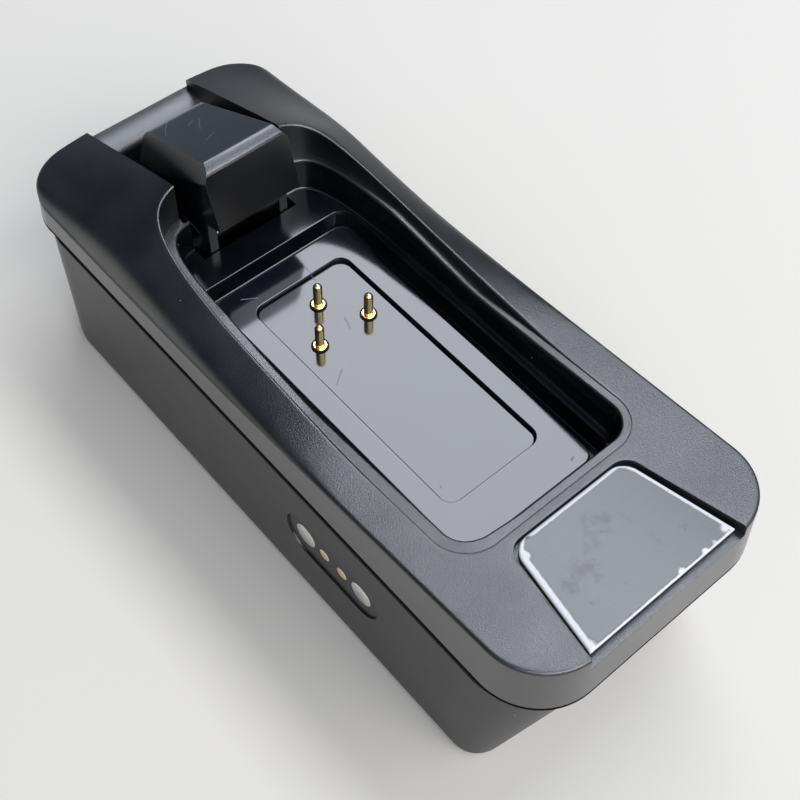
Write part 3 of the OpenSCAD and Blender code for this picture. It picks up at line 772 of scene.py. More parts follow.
@dataclass
class CoverShell(Maker):
    """The top cover: a saddle-backed skin that falls to a ledge, a glossy pocket and a groove.

    A plan is a rounded rectangle's half width, front, back, front radius and back radius.
    """

    half: float = 17.5
    length: float = 89.0
    corner: float = 7.5
    back_corner: float = 6.4
    wall: float = 1.85
    lean: float = 0.06
    fall: float = 0.078
    side_edge: float = 3.45
    rise: float = 0.255
    rise_start: float = 30.5
    drop: float = 0.36
    drop_end: float = 93.9
    fullness: float = 0.36
    full_from: float = 52
    full_over: float = 20
    ledge_low: float = 4.75
    ledge_high: float = 6.15
    ledge_climb: float = 0.12
    ledge_from: float = 43
    edge_round: float = 0.4
    seam_round: float = 0.1
    # top of the band of painted seam shade
    shade_top: float = 0.6
    dome_rings: int = 26
    inner_half: float = 12.9
    inner_front: float = 15.25
    inner_corner: float = 4.3
    inner_round: float = 0.35
    bend_start: float = 45.0
    bend_power: float = 3.5
    bend_root: float = 0.1315
    side_end: float = 55.0
    back_half: float = 6.0
    shoulder: float = 69.3
    pocket_inset: float = 1.02
    pocket_left: float = 0.42
    lip: float = 0.3
    heel: float = 0.4
    groove_lip: float = 0.15
    groove_heel: float = 0.25
    well_half: float = 7.35
    well_back: float = 85.2
    well_low: float = SEAM + 4.05
    well_run: float = 2.9
    well_climb: float = 1.8
    slot_half: float = 6.75
    slot_front: float = 66.0
    shelf: float = 23.05
    groove: float = 20.4
    tray: float = 18.8
    roof: float = SEAM + 1.6
    tray_plan: Plan = (13.4, 14.7, 87.1, 4, 1.5)
    groove_mouth: Plan = (10.8, 16.9, 62.1, 2.4, 1.8)
    groove_inside: Plan = (9.2, 18.6, 60.6, 1.4, 1.4)
    stations: Stations = Stations()

    def edge_top(self, y: np.ndarray) -> np.ndarray:
        """Height of the side's top edge at a station."""
        return SEAM + smooth_max(FRONT_TOP - self.fall * y, self.side_edge, 0.9)

    def skin(self, plan: np.ndarray) -> np.ndarray:
        """Height of the domed top at rows of x and y."""
        x, y = np.abs(plan[:, 0]), plan[:, 1]
        swell = smooth_max(self.rise * (y - self.rise_start), 0.0, 0.9) - 0.01
        swell = np.maximum(0, smooth_min(swell, self.drop * (self.drop_end - y), 1.2))
        t = x / (self.half - 0.35)
        full = self.fullness * (0.5 + 0.5 * np.clip((y - self.full_from) / self.full_over, 0, 1))
        crown = np.maximum(0, 1 - t ** 3 + full * (t ** 8 - np.minimum(t, 1) ** 40))
        return self.edge_top(y) + swell * crown

    def ledge(self, y: np.ndarray) -> np.ndarray:
        """Height of the ledge inside the shoulders."""
        back = np.minimum(self.ledge_high, self.ledge_low + self.ledge_climb * (y - self.ledge_from))
        return SEAM + smooth_max(FRONT_TOP - self.fall * y, back, 0.3)

    def inner_plan(self) -> np.ndarray:
        """The loop where the shoulders fall to the ledge, as rows of x and y with the shell's counts."""
        s, w, r, y0 = self.stations, self.inner_half, self.inner_corner, self.inner_front
        reach = self.shoulder - self.bend_start

        def side_x(y: np.ndarray | float) -> np.ndarray:
            """Half width at a station on the long side."""
            share = np.maximum(0, y - self.bend_start) / reach
            return w * (1 - share ** self.bend_power) ** self.bend_root

        knee = 11.6
        xs = np.concatenate([np.linspace(side_x(self.side_end), knee, 14),
                             np.linspace(knee, self.back_half, 220)[1:]])
        share = np.maximum(0, 1 - (xs / w) ** (1 / self.bend_root))
        ys = self.bend_start + reach * share ** (1 / self.bend_power)
        step = np.concatenate([[0], np.cumsum(np.hypot(np.diff(xs), np.diff(ys)))])
        at = np.linspace(0, step[-1], s.turn + 1)
        bend = np.column_stack([np.interp(at, step, xs), np.interp(at, step, ys)])
        side_y = np.linspace(y0 + r, self.side_end, s.side + 1)
        return join_half(straight(0, y0, w - r, y0, s.front), front_corner(w, y0, r, s.corner),
                         np.column_stack([side_x(side_y), side_y]), bend,
                         straight(self.back_half, bend[-1, 1], 0, bend[-1, 1], s.back))

    def build(self) -> None:
        """Builds the cover."""
        s = self.stations
        seam = s.rounded(self.half, 0, self.length, self.corner, self.back_corner)
        inside = offset(seam, -self.wall)
        inner = self.inner_plan()
        ledge = self.ledge(inner[:, 1])
        body = Loft()
        # the underside, from the middle outwards, and a band of painted shade on the side's lower rim in
        # place of the seam gap's shadow
        tray = s.rounded(*self.tray_plan)
        for plan, z in ((tray, self.tray), (tray, self.roof), (inside, self.roof), (inside, SEAM),
                        (offset(seam, -self.seam_round), SEAM)):
            body.add(plan, z, Zone.SIDE)
        # painted shade: this rim band gets the near-black finish in place of the seam's shadow
        for h in (self.seam_round, self.shade_top):
            body.add(seam, SEAM + h, Zone.SEAM_SHADE)
        # the leaning side and its soft top edge
        r = self.edge_round
        tall = self.edge_top(seam[:, 1]) - SEAM - r
        for share in (0.33, 0.66, 1.0):
            h = self.shade_top + (tall - self.shade_top) * share
            body.add(offset(seam, -self.lean * h), SEAM + h, Zone.SIDE)
        lean_in = self.lean * tall
        for c, up in quarter(6, 1):
            plan = offset(seam, -(lean_in + r * c))
            body.add(plan, self.skin(plan) - r * up)
        # the domed top, drawn in to the shoulders' inner edge, which fades out where there is no shoulder
        edge = self.inner_round
        rim, near = offset(seam, -(lean_in + r)), offset(inner, edge)
        for k in range(1, self.dome_rings + 1):
            plan = rim + (near - rim) * k / self.dome_rings
            body.add(plan, self.skin(plan))
        depth = np.clip((self.skin(inner) - ledge) / 0.8, 0, 1)
        for c, up in quarter(4, 1):
            plan = offset(inner, edge * up)
            body.add(plan, self.skin(plan) - depth * edge * c)
        body.add(inner, np.minimum(ledge, self.skin(inner)))
        # the ledge, a little wider on the left, its lip, the pocket's wall, the shelf and the groove
        left = np.clip((-inner[:, 0] - 5) / 5, 0, 1)
        pocket = offset(inner, -self.pocket_inset - self.pocket_left * left)
        for c, up in quarter(4):
            body.add(offset(pocket, self.lip * up), ledge - self.lip * c)
        for c, up in quarter(4):
            body.add(offset(pocket, -self.heel * c), self.shelf + self.heel * up, Zone.CRADLE)
        trench = s.rounded(*self.groove_mouth)
        for c, up in quarter(2):
            body.add(offset(trench, self.groove_lip * up), self.shelf - self.groove_lip * c, Zone.CRADLE)
        for c, up in quarter(2):
            body.add(offset(trench, -self.groove_heel * c), self.groove + self.groove_heel * up, Zone.CRADLE)
        body.add(s.rounded(*self.groove_inside), self.groove, Zone.CRADLE)
        cover = body.build("cover_shell")
        self.cut_well(cover)
        self.cut_window(cover)
        self.seat(cover, "cover band cradle shade", "top_cover", "top_cover")

    def cut_well(self, cover: Piece) -> None:
        """Opens the latch's slot and the well behind it, and leaves the low back wall."""
        start, end, bottom = self.shoulder - 0.9, self.length + 2, 10.0
        back = [(self.well_back + self.well_run * c, self.well_low - self.well_climb * up)
                for c, up in quarter(9)]
        profile = [(start, bottom), (self.well_back, bottom), *back, (end, self.well_low), (end, FAR),
                   (start, FAR)]
        cut(cover, prism_x("well_tool", profile, -self.well_half, self.well_half))
        cut(cover, block("slot_tool", self.slot_half, self.slot_front, self.shoulder + 1, bottom, 40.0))

    def cut_window(self, cover: Piece) -> None:
        """Sinks the window's bed into the flat front and softens its rim."""
        bed = WindowBed()
        plan = bed.plan()
        floor = SEAM + FRONT_TOP - bed.depth - bed.slope * (plan[:, 1] + 2)
        cut(cover, prism_z("window_tool", plan, floor, FAR))
        bevel(cover, 0.16, lambda p, q: max(p.y, q.y) < 14.9 and min(p.z, q.z) > SEAM + 5.0
              and max(abs(p.x), abs(q.x)) < 11.6, 50, 2)


@dataclass
class BaseShell(Maker):
    """The base: a tub with a raked front, a recessed seam shoulder and a side port.

    Its plans are as in CoverShell.
    """

    half: float = 17.3
    back: float = 88.75
    bottom: float = 0.4
    top: float = 20.45
    rake: float = 5.8
    corner: float = 8.0
    foot_round: float = 0.9
    rim_round: float = 0.2
    front: float = 0.7
    taper: float = 4.8
    shoulder: Plan = (16.2, 1.5, 87.7, 6.7, 6.7)
    tongue: Plan = (15.5, 2.2, 87.0, 6, 6)
    mouth: Plan = (14.4, 3.3, 85.9, 4.9, 4.9)
    hollow: Plan = (15.5, 9.0, 86.9, 2.5, 6)
    mouth_low: float = 18.0
    floor: float = 2.2
    post_radius: float = 2.6
    post_low: float = 1.5
    post_height: float = 17.4
    stations: Stations = Stations(10, 22, 40, 22, 10)

    def outline(self, z: float, inset: float = 0.0) -> np.ndarray:
        """The outer wall's loop at a height, drawn in by an inset, as rows of x and y."""
        low = 1 - (z - self.bottom) / (self.top - self.bottom)
        plan = self.stations.rounded(self.half, self.front + self.rake * low, self.back,
                                     self.corner - self.taper * low, self.corner)
        return offset(plan, -inset)

    def build(self) -> None:
        """Builds the base."""
        body = Loft()
        r = self.foot_round
        for c, up in quarter(6):
            z = self.bottom + r * c
            body.add(self.outline(z, r * up), z)
        for share in np.linspace(0.1, 1, 8):
            z = self.bottom + r + (self.top - self.rim_round - self.bottom - r) * share
            body.add(self.outline(z), z)
        for c, up in quarter(4, 1):
            body.add(self.outline(self.top, self.rim_round * c), self.top - self.rim_round * up)
        # the recessed shoulder, the tongue and the hollow
        for plan, heights in ((self.shoulder, (self.top, SEAM)), (self.tongue, (SEAM, TONGUE)),
                              (self.mouth, (TONGUE, self.mouth_low)), (self.hollow, (self.floor,))):
            for z in heights:
                body.add(self.stations.rounded(*plan), z)
        base = body.build("base_tub")
        port = SidePort(self.palette)
        cut(base, port.oblong("port_tool", 0.0, 1.0, port.sink + 0.02))
        bevel(base, 0.14, lambda p, q: max(p.x, q.x) < -16.6 and abs((p.y + q.y) / 2 - port.y) < 9
              and abs((p.z + q.z) / 2 - port.z) < 4, 40, 3)
        for y in SCREW_Y:
            for x in (SCREW_X, -SCREW_X):
                foot = (x, y, self.post_low)
                cut(base, rod("post_tool", self.post_radius, 0, self.post_height, foot, steps=24), True)
        self.seat(base, "base", "base_shell", "base_shell")


@dataclass
class SidePort(Maker):
    """The magnetic port on the left wall: a sunk oblong insert with two magnets and two contacts."""

    wall: float = -17.3
    y: float = 30.3
    z: float = 12.1
    half_long: float = 7.7
    half_high: float = 3.3
    magnet_gap: float = 4.7
    contact_gap: float = 1.47
    sink: float = 0.25

    def oblong(self, name: str, shrink: float, outside: float, depth: float) -> Piece:
        """An oblong block that lies in the left wall.

        Args:
            name: the block's name.
            shrink: how far its outline is drawn in.
            outside: how far it stands out of the wall.
            depth: how far it goes into the wall.

        Returns:
            The block.
        """
        r = self.half_high - shrink
        run = self.half_long - self.half_high
        turn = np.linspace(-math.pi / 2, math.pi / 2, 25)
        ring = [(self.y + s * (run + r * math.cos(a)), self.z + s * r * math.sin(a))
                for s in (1, -1) for a in turn]
        return prism_x(name, ring, self.wall - outside, self.wall + depth)

    def build(self) -> None:
        """Builds the insert, magnets and contacts."""
        insert = self.oblong("port_block", 0.07, -self.sink, 3.6)
        for s in (-1, 1):
            for reach, r in ((self.magnet_gap, 1.72), (self.contact_gap, 0.98)):
                place = (self.wall, self.y + s * reach, self.z)
                cut(insert, rod("hole_tool", r - 0.04, 1.0, -2.9, place, "X", 40))
        bevel(insert, 0.09, lambda p, q: max(p.x, q.x) < self.wall + 0.75, 50, 2)
        self.seat(insert, "port", "port_insert", "port_insert")
        face = 0.03 - self.sink
        magnet = [(0, -3.0), (1.6, -3.0), (1.62, face - 0.13), (1.58, face - 0.05), (1.5, face - 0.01),
                  (0, face)]
        contact = [(0, -3.7), (0.9, -3.7), (0.91, face - 0.18), (0.86, face - 0.08), (0.74, face - 0.02),
                   (0.5, face), (0.25, face + 0.01), (0, face + 0.01)]
        for s, side in ((-1, "front"), (1, "back")):
            for kind, profile, gap, steps, finish, slot in (
                    ("magnet", magnet, self.magnet_gap, 56, "nickel", "magnet"),
                    ("contact", contact, self.contact_gap, 44, "pale_gold", "gold")):
                piece = lathe(f"{kind}_{side}", profile, (self.wall, self.y + s * gap, self.z), "X", steps)
                self.seat(piece, finish, slot, f"port_{kind}_{side}")


# Fittings

@dataclass
class CradleFittings(Maker):
    """The raised plate, the sunk contact panel and the three sprung contact pins."""

    plate_half: float = 9.5
    panel_half: float = 6.65
    panel_front: float = 23.6
    panel_back: float = 57.3
    panel_corner: float = 1.5
    panel_gap: float = 0.14
    panel_top: float = 21.2
    underside: float = 20.4
    tip: float = 0.54

    def build(self) -> None:
        """Builds the fittings."""
        plate = rounded_slab("raised_plate", self.plate_half, 18.25, 60.9, 1.6, self.underside, PLATE, 0.22)
        plan = SLAB_STATIONS.rounded(self.panel_half, self.panel_front, self.panel_back, self.panel_corner,
                                     self.panel_corner)
        cut(plate, prism_z("panel_tool", plan, 19.0, 30.0))
        bevel(plate, 0.12, lambda p, q: max(abs(p.x), abs(q.x)) < 7.0 and min(p.z, q.z) > PLATE - 0.1, 40, 2)
        self.seat(plate, "plate", "cradle_plate", "cradle_plate")
        gap = self.panel_gap
        panel = rounded_slab("sunk_panel", self.panel_half - gap, self.panel_front + gap,
                             self.panel_back - gap, self.panel_corner - gap, self.underside,
                             self.panel_top, 0.1)
        for _, _, x, y in PINS:
            cut(panel, rod("pin_tool", 0.78, -3, 3, (x, y, self.panel_top)))
        self.seat(panel, "plate", "contact_panel", "contact_panel")
        for side, body, x, y in PINS:
            self.pin(side, body, (x, y, self.panel_top))

    def pin(self, side: str, body: Body, base: Point) -> None:
        """One contact pin: its seal, flanged sleeve and domed plunger.

        Args:
            side: which pin it is.
            body: what its plunger moves with.
            base: the middle of its flange on the panel.
        """
        seal = lathe(f"seal_{side}", [(0.86, 0.0), (1.02, 0.0), (1.02, 0.16), (0.98, 0.23), (0.9, 0.24),
                                      (0.86, 0.2), (0.86, 0.0)], base, ring=True)
        self.seat(seal, "rubber", "rubber_black", f"pin_seal_{side}")
        sleeve = lathe(f"sleeve_{side}", [(0.0, -5.0), (0.74, -5.0), (0.74, 0.0), (0.84, 0.0), (0.84, 0.22),
                                          (0.78, 0.29), (0.7, 0.3), (0.6, 0.3), (0.575, 0.27), (0.57, -0.2),
                                          (0.62, -0.2), (0.62, -4.7), (0.0, -4.7)], base)
        self.seat(sleeve, "gold", "gold", f"barrel_{side}")
        r = self.tip
        dome = [(r * math.sin(a), 3.06 + r * math.cos(a)) for a in np.radians(np.linspace(90, 0, 7))]
        stem = [(0.0, -2.4), (0.6, -2.4), (0.6, -0.3), (r, -0.3), (r, 1.4)]
        plunger = lathe(f"plunger_tip_{side}", stem + dome, base)
        self.seat(plunger, "gold", "gold", f"plunger_{side}", body=body)


@dataclass
class ThumbLatch(Maker):
    """The latch: an overhanging front, a sloping thumb face that narrows towards the back, and two legs."""

    half: float = 5.68
    slope: float = 0.41
    front: float = 66.5
    thumb_half: float = 4.75
    thumb_taper: float = 0.07
    facet_lean: float = 0.372
    back_round: float = 0.9
    head_round: float = 0.36
    leg_round: float = 0.15
    side: Pairs = (
        (63.5, 28.9), (65.27, 35.6), (65.36, 35.93), (65.55, 36.2), (65.95, 36.47), (66.45, 36.74),
        (66.8, 36.76), (67.3, 36.52), (79.0, 31.69), (79.6, 31.38), (80.1, 30.95), (80.4, 30.4),
        (80.5, 29.7), (80.1, 23.8), (79.4, 15.4), (75.5, 14.2), (71.5, 14.4), (70.0, 16.6),
        (66.15, 18.4), (66.15, 28.1))

    def facet(self, s: int) -> Piece:
        """The block that cuts the flat facet beside the thumb face, right for 1 and left for -1."""
        loops = []
        for y in (60.0, 84.0):
            top = PLATE + 15.0 - self.slope * (y - self.front)
            inner = self.thumb_half - self.thumb_taper * (y - self.front)
            low = top - (self.half - inner) / self.facet_lean
            ring = [(inner - self.facet_lean, top + 1.0), (inner, top), (self.half + 0.02, low),
                    (self.half + 0.6 * self.facet_lean, low - 0.5), (self.half + 5, low),
                    (self.half + 4, top + 6)]
            loops.append(np.array([(s * x, y, z) for x, z in ring]))
        return bridge("facet_tool", *loops)

    def build(self) -> None:
        """Builds the latch: its head, rounded edges, hollow with two legs, spring tail and pivot bore."""
        head = prism_x("latch_head", self.side, -self.half, self.half)
        for s in (-1, 1):
            cut(head, self.facet(s))
        bevel(head, self.back_round, lambda p, q: min(p.y, q.y) > 78.6 and min(p.z, q.z) > 24.0
              and abs(p.x - q.x) < 1.2 and abs(p.z - q.z) > 0.2, 25, 4)
        bevel(head, self.head_round, lambda p, q: min(p.z, q.z) > 28.5 and max(p.y, q.y) < 79.2, 18, 4, True)
        cut(head, block("hollow_tool", 4.4, 63.0, 77.6, 13.0, 27.4))
        bevel(head, self.leg_round, lambda p, q: max(p.z, q.z) < 28.6 and max(p.y, q.y) < 67, 40, 2)
        cut(head, block("tail_tool", 3, 78.0, 83.4, 15.4, 17.4), True)
        cut(head, rod("bore_tool", 1.05, -8, 8, (0, 73.5, 16.8), "X", 40))
        clean(head, 17.0)
        self.seat(head, "latch", "latch", "latch", body=Body.LATCH)


def fade(distance: np.ndarray, width: float) -> np.ndarray:
    """Falls from 1 to nothing over a few widths."""
    return np.exp(-(distance / width) ** 2)


@dataclass
class FrontWindow(Maker):
    """The smoked window at the front, with the residue that has dried along its edges.

    A blob is its x, y, size and strength; a stain is its x, y, width, length and strength.
    """

    gap: float = 0.5
    back_gap: float = 0.16
    front: float = 1.3
    corner: float = 1.8
    thickness: float = 0.5
    sink: float = 0.58
    slope: float = 0.0515
    edge_fall: float = 0.14
    columns: int = 120
    rows: int = 84
    blobs: tuple[tuple[float, ...], ...] = (
        (-7.6, 12.6, 1.0, 0.9), (-9.9, 1.9, 1.5, 0.8), (7.9, 12.6, 0.8, 0.8), (9.2, 2.0, 0.8, 0.7),
        (2.6, 1.5, 0.7, 0.75), (5.9, 1.5, 0.6, 0.75), (7.3, 1.6, 0.6, 0.6), (-4.0, 1.4, 0.5, 0.5))
    stains: tuple[tuple[float, ...], ...] = (
        (-3.6, 7.9, 2.9, 2.4, 0.62), (-6.6, 7.2, 1.6, 1.5, 0.5), (0.4, 10.4, 2.2, 2.0, 0.6),
        (2.6, 9.0, 1.4, 1.6, 0.5), (-6.0, 4.6, 1.3, 1.1, 0.36), (3.4, 5.2, 0.5, 2.2, 0.5),
        (6.4, 4.6, 1.1, 0.9, 0.5), (8.0, 3.2, 0.8, 1.0, 0.5), (-2.0, 4.0, 1.4, 1.0, 0.3))

    def wear(self, x: np.ndarray, y: np.ndarray, half: np.ndarray, back: float) -> dict[str, np.ndarray]:
        """How much residue and stain each point of the grid has.

        Args:
            x: the points' x.
            y: the points' y.
            half: half width of each row.
            back: y of the back edge.

        Returns:
            The strength at each point, by name.
        """
        residue = np.maximum.reduce([
            fade(x + half, 0.86) * 0.95, fade(half - x, 0.62) * 0.9,
            fade(back - y, 0.6) * (0.9 - 0.5 * fade(x + 6.0, 0.5)), fade(y - self.front, 0.3) * 0.72])
        for bx, by, size, amount in self.blobs:
            residue = np.maximum(residue, amount * fade(np.hypot(x - bx, y - by), size))
        stain = np.zeros_like(x)
        for sx, sy, wide, long, amount in self.stains:
            stain = np.maximum(stain, amount * fade(x - sx, wide) * fade(y - sy, long))
        return {"residue": residue, "stain": stain}

    def build(self) -> None:
        """Builds the window plate as a fine grid with a rim."""
        bed, y0, r = WindowBed(), self.front, self.corner
        y1 = bed.back - self.back_gap
        y = np.linspace(y0, y1, self.rows + 1)[:, None]
        near = np.maximum(0, y - (y1 - r))
        half = bed.half(y) - self.gap - (r - np.sqrt(np.maximum(0, r * r - near * near)))
        x = np.linspace(-1, 1, self.columns + 1)[None, :] * half
        y = np.repeat(y, self.columns + 1, axis=1)
        edge = np.minimum.reduce([half - np.abs(x), y1 - y, y - y0])
        top = (SEAM + FRONT_TOP - self.sink - self.slope * (y - 1.0)
               - self.edge_fall * fade(np.maximum(edge, 0), 0.12))
        count = x.size
        index = np.arange(count).reshape(x.shape)
        faces = [(index[j, i], index[j, i + 1], index[j + 1, i + 1], index[j + 1, i])
                 for j in range(self.rows) for i in range(self.columns)]
        rim = [*index[0], *index[1:, -1], *index[-1, -2::-1], *index[-2:0:-1, 0]]
        n = len(rim)
        faces += [(rim[k], count + k, count + (k + 1) % n, rim[(k + 1) % n]) for k in range(n)]
        faces.append(tuple(range(count + n - 1, count - 1, -1)))
        points = np.column_stack([x.ravel(), y.ravel(), top.ravel()])
        points = np.vstack([points, points[rim] - (0, 0, self.thickness)])
        mesh = bpy.data.meshes.new("window_plate")
        mesh.from_pydata([tuple(p) for p in to_metres(points)], [], [tuple(map(int, f)) for f in faces])
        for name, values in self.wear(x, y, half, y1).items():
            layer = mesh.attributes.new(name, "FLOAT", "POINT")
            flat = np.concatenate([values.ravel(), values.ravel()[rim] * 0.8])
            layer.data.foreach_set("value", flat.astype(np.float32))
        for polygon in mesh.polygons:
            polygon.use_smooth = True
        self.seat(add_object("window_plate", mesh), "window", "display_window", "display_window")


# Repeated pieces made with Geometry Nodes

class NodeMaker(Tree):
    """Builds a Geometry Nodes tree with named inputs and bakes it into a plain piece."""

    prefix = "GeometryNode"

    def __init__(self, name: str, floats: Sequence[str], vectors: Sequence[str]) -> None:
        """Starts the tree.

        Args:
            name: the tree's name.
            floats: its float inputs.
            vectors: its vector inputs.
        """
        super().__init__(bpy.data.node_groups.new(name, "GeometryNodeTree"))
        face = self.tree.interface
        kinds = {**dict.fromkeys(floats, "Float"), **dict.fromkeys(vectors, "Vector"), "Material": "Material"}
        self.keys = {key: face.new_socket(key, in_out="INPUT", socket_type="NodeSocket" + kind).identifier
                     for key, kind in kinds.items()}
        face.new_socket("Geometry", in_out="OUTPUT", socket_type="NodeSocketGeometry")
        self.inside = self.tree.nodes.new("NodeGroupInput").outputs
        self.out = self.tree.nodes.new("NodeGroupOutput").inputs

    def finish(self, geometry: Socket) -> None:
        """Moves what the tree has built to its place and ends in Realize Instances and Set Material."""
        moved = self.node("Transform", Geometry=geometry, Translation=self.inside["Place"])
        real = self.node("RealizeInstances", Geometry=moved.outputs[0])
        painted = self.node("SetMaterial", Geometry=real.outputs[0], Material=self.inside["Material"])
        self.fill(self.out["Geometry"], painted.outputs[0])

    def bake(self, name: str, material: bpy.types.Material, **values: object) -> Piece:
        """Runs the tree once and keeps the result as a plain mesh.

        Args:
            name: the piece's name.
            material: its finish.
            values: the tree's inputs by name, with _ for spaces.

        Returns:
            The piece.
        """
        obj = add_object(name, bpy.data.meshes.new(name))
        modifier = obj.modifiers.new("maker", "NODES")
        modifier.node_group = self.tree
        modifier[self.keys["Material"]] = material
        for key, value in values.items():
            modifier[self.keys[key.replace("_", " ")]] = value
        settle(obj, modifier)
        clean(obj, 35)
        return obj


def coil_maker() -> NodeMaker:
    """The tree of a coil spring: a circle swept along a helix."""
    made = NodeMaker("coil_spring", ("Turns", "Radius", "Wire", "Height"), ("Place",))
    port = made.inside
    spiral = made.node("CurveSpiral", Resolution=28, Rotations=port["Turns"], Start_Radius=port["Radius"],
                       End_Radius=port["Radius"], Height=port["Height"])
    wire = made.node("CurvePrimitiveCircle", Resolution=10, Radius=port["Wire"])
    made.finish(made.node("CurveToMesh", Curve=spiral.outputs[0], Profile_Curve=wire.outputs[0],
                          Fill_Caps=True).outputs[0])
    return made


def screw_maker() -> NodeMaker:
    """The tree of a set of screws at the corners of a rectangle: a head and a shank at each."""
    made = NodeMaker("screw_set", ("Spacing X", "Spacing Y", "Head Radius", "Head Height", "Shank Radius",
                                   "Shank Length"), ("Shank Shift", "Place"))
    port = made.inside
    points = made.node("MeshGrid", Size_X=port["Spacing X"], Size_Y=port["Spacing Y"], Vertices_X=2,
                       Vertices_Y=2)
    head = made.node("MeshCylinder", Vertices=36, Radius=port["Head Radius"], Depth=port["Head Height"])
    shank = made.node("MeshCylinder", Vertices=28, Radius=port["Shank Radius"], Depth=port["Shank Length"])
    lowered = made.node("Transform", Geometry=shank.outputs[0], Translation=port["Shank Shift"])
    both = made.node("JoinGeometry")
    made.fill(both.inputs[0], head.outputs[0])
    made.fill(both.inputs[0], lowered.outputs[0])
    made.finish(made.node("InstanceOnPoints", Points=points.outputs[0], Instance=both.outputs[0]).outputs[0])
    return made


@dataclass(frozen=True)
class FixingSet:
    """Four screws or feet at a rectangle's corners, in metres; a head or shank is its radius and height."""

    name: str
    finish: str
    slot: str
    nodes: str
    spacing: tuple[float, float]
    head: tuple[float, float]
    shank: tuple[float, float]
    shank_shift: float
    place: Point


COVER_SPACING = (0.0252, 0.0698)
FIXINGS = (
    FixingSet("cover_screw_set", "steel", "steel", "cover_screws", COVER_SPACING, (0.002, 0.0015),
              (0.00098, 0.0119), 0.0058, (0.0, 0.0006, 0.01215)),
    FixingSet("board_screw_set", "steel", "steel", "board_screws", (0.021, 0.046), (0.0015, 0.0009),
              (0.00072, 0.0056), -0.003, (0.0, -0.0035, 0.01085)),
    FixingSet("rubber_feet", "rubber", "rubber_black",
              "foot_front_left foot_front_right foot_back_left foot_back_right", COVER_SPACING,
              (0.003, 0.0009), (0.0026, 0.0004), 0.0006, (0.0, 0.0006, 0.00045)),
)


@dataclass
class HiddenWorks(Maker):
    """Springs, screws, feet and boards: what the closed body holds and stands on.

    Sizes here are in metres.
    """

    latch_seat: Point = (0.0, 0.0367, 0.00822)
    pin_seat: float = 0.01657

    def build(self) -> None:
        """Builds the pieces that repeat and finishes the boards."""
        self.springs()
        self.fixings()
        for finish, nodes in (("board", "port_board main_board contact_board indicator_board"),
                              ("chip", "charge_chip link_header"), ("ferrite", "power_coil"),
                              ("ceramic", "board_capacitors"), ("gold", "link_pins"),
                              ("light", "indicator_leds"), ("steel", "latch_pin")):
            for node in nodes.split():
                dress(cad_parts[node], self.palette[finish])

    def springs(self) -> None:
        """Winds the latch's spring and the three pins' springs."""
        steel = self.palette["steel"]
        coils = coil_maker()
        spring = coils.bake("latch_coil", steel, Turns=7.0, Radius=0.00178, Wire=0.00022, Height=0.00696,
                            Place=self.latch_seat)
        self.seat(spring, "steel", "steel", "latch_spring")
        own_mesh(spring)
        for side, _, x, y in PINS:
            place = (x * MM, (y - HALF_LENGTH) * MM, self.pin_seat)
            coil = coils.bake(f"pin_coil_{side}", steel, Turns=6.0, Radius=0.00048, Wire=0.00007,
                              Height=0.00216, Place=place)
            self.seat(coil, "steel", "steel", f"pin_spring_{side}")
            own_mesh(coil)

    def fixings(self) -> None:
        """Sets the screws and the feet, four of each."""
        screws = screw_maker()
        for f in FIXINGS:
            piece = screws.bake(f.name, self.palette[f.finish], Spacing_X=f.spacing[0],
                                Spacing_Y=f.spacing[1], Head_Radius=f.head[0], Head_Height=f.head[1],
                                Shank_Radius=f.shank[0], Shank_Length=f.shank[1],
                                Shank_Shift=(0.0, 0.0, f.shank_shift), Place=f.place)
            self.seat(piece, f.finish, f.slot, *f.nodes.split())


# Stage

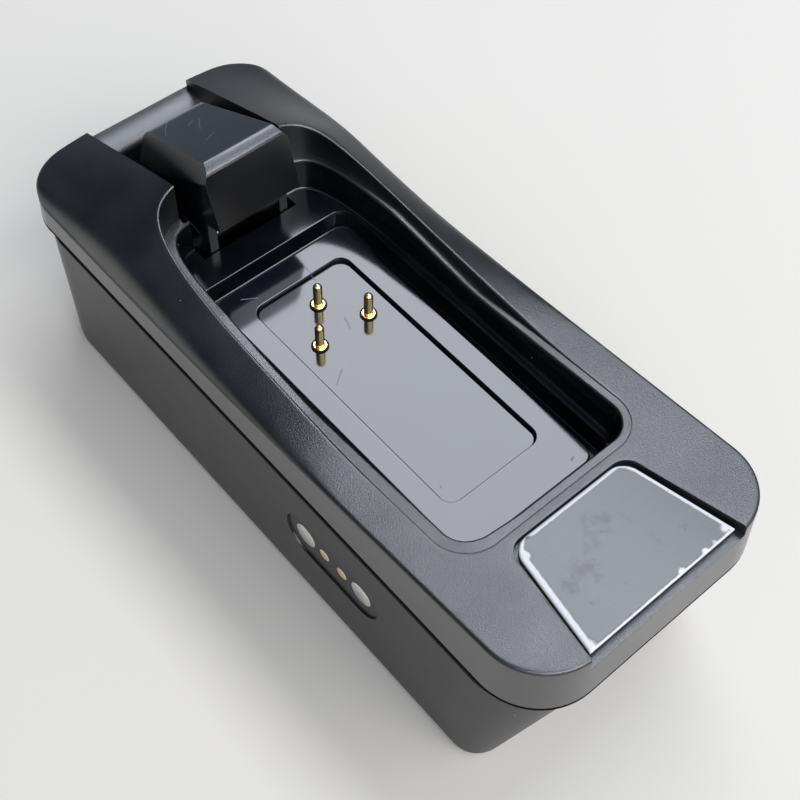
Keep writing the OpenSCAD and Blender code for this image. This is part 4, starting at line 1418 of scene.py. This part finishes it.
@dataclass
class Studio:
    """The pale table, the soft lamps and the camera at the photograph's angle."""

    camera_at: Point = (-0.05679, -0.06792, 0.13953)
    turn: Point = (2.40408501, -0.88754607, 0.30072464)
    lens: float = 59.245
    table_corners: tuple[Point, ...] = ((-0.35, -0.35, 0), (0.4, -0.35, 0), (0.4, 0.3, 0), (-0.35, 0.3, 0))

    def build(self) -> None:
        """Builds the table, lamps, world and camera."""
        self.table()
        self.lamps()
        self.world()
        self.camera()

    def table(self) -> None:
        """Lays the table."""
        mesh = bpy.data.meshes.new("table_top")
        mesh.from_pydata(self.table_corners, [], [(0, 1, 2, 3)])
        floor = add_object("table_top", mesh)
        t = Surface("pale_table")
        cloudy = t.mix(t.noise(t.place, 9.0, 2.0), (0.44, 0.415, 0.375, 1), (0.46, 0.435, 0.393, 1))
        t.set(Base_Color=cloudy, Roughness=0.7)
        floor.data.materials.append(t.material)

    @staticmethod
    def lamp(name: str, place: Point, size: tuple[float, float], power: float, colour: Point,
             aim: Point) -> None:
        """Hangs one soft lamp.

        Args:
            name: its name.
            place: where it hangs.
            size: its width and height.
            power: its power in watts.
            colour: its colour.
            aim: the point that it faces.
        """
        data = bpy.data.lights.new(name, "AREA")
        data.shape = "RECTANGLE"
        data.size, data.size_y = size
        data.energy = power
        data.color = colour
        lamp = add_object(name, data)
        lamp.location = place
        lamp.rotation_euler = (Vector(aim) - Vector(place)).to_track_quat("-Z", "Y").to_euler()

    def lamps(self) -> None:
        """Hangs the lamps."""
        self.lamp("overhead_box", (0.230, 0.14, 0.50), (0.18, 0.48), 2.55, (0.94, 0.985, 1.06),
                  (0.230, 0.14, 0.0))
        self.lamp("front_fill", (-0.1, -0.85, 0.8), (1.3, 0.9), 19.0, (1.0, 0.985, 0.99), (0, 0, 0.02))
        self.lamp("edge_card", (0.19, -0.25, 0.45), (0.12, 0.12), 0.4, (0.97, 0.99, 1.03), (0.0, 0.02, 0.035))

    @staticmethod
    def world() -> None:
        """Sets the world: a glow overhead and in front, a weak one low at the back, pale to the camera."""
        world = bpy.data.worlds.new("room")
        bpy.context.scene.world = world
        world.use_nodes = True
        t = Tree(world.node_tree)
        axis = t.node("SeparateXYZ", Vector=t.node("TexCoord").outputs["Generated"]).outputs
        seen = t.node("LightPath").outputs["Is Camera Ray"]
        glow = t.times(t.ramp(axis[2], 0.05, 0.8), t.ramp(axis[1], 0.55, -0.35))
        far = t.times(t.ramp(axis[2], 0.24, 0.02), t.ramp(axis[1], 0.35, 0.8))
        glow = t.plus(t.times(glow, 1.1), t.times(far, 0.4))
        sky = world.node_tree.nodes["Background"].inputs
        t.fill(sky["Color"], t.mix(seen, (0.75, 0.9, 1.15, 1), (0.76, 0.76, 0.75, 1)))
        t.fill(sky["Strength"], t.math("MAXIMUM", t.plus(0.01, glow), seen))

    def camera(self) -> None:
        """Sets the camera, whose turn's rows point right, down and ahead."""
        data = bpy.data.cameras.new("view")
        data.sensor_width = 36.0
        data.lens = self.lens
        data.clip_start = 0.001
        right, down, ahead = Matrix.Rotation(Vector(self.turn).length, 3, Vector(self.turn).normalized())
        camera = add_object("view", data)
        facing = Matrix((right, -down, -ahead)).transposed().to_4x4()
        camera.matrix_world = Matrix.Translation(self.camera_at) @ facing
        bpy.context.scene.camera = camera
        bpy.context.scene.view_settings.view_transform = "Standard"


def main() -> None:
    """Builds the charger, piece by piece, and its stage."""
    effects = SharedEffects()
    palette = {key: finish.make(effects) for key, finish in FINISHES.items()}
    for maker in (BaseShell, CoverShell, SidePort, CradleFittings, ThumbLatch, FrontWindow, HiddenWorks):
        maker(palette).build()
    Studio().build()


if __name__ == "__main__":
    main()
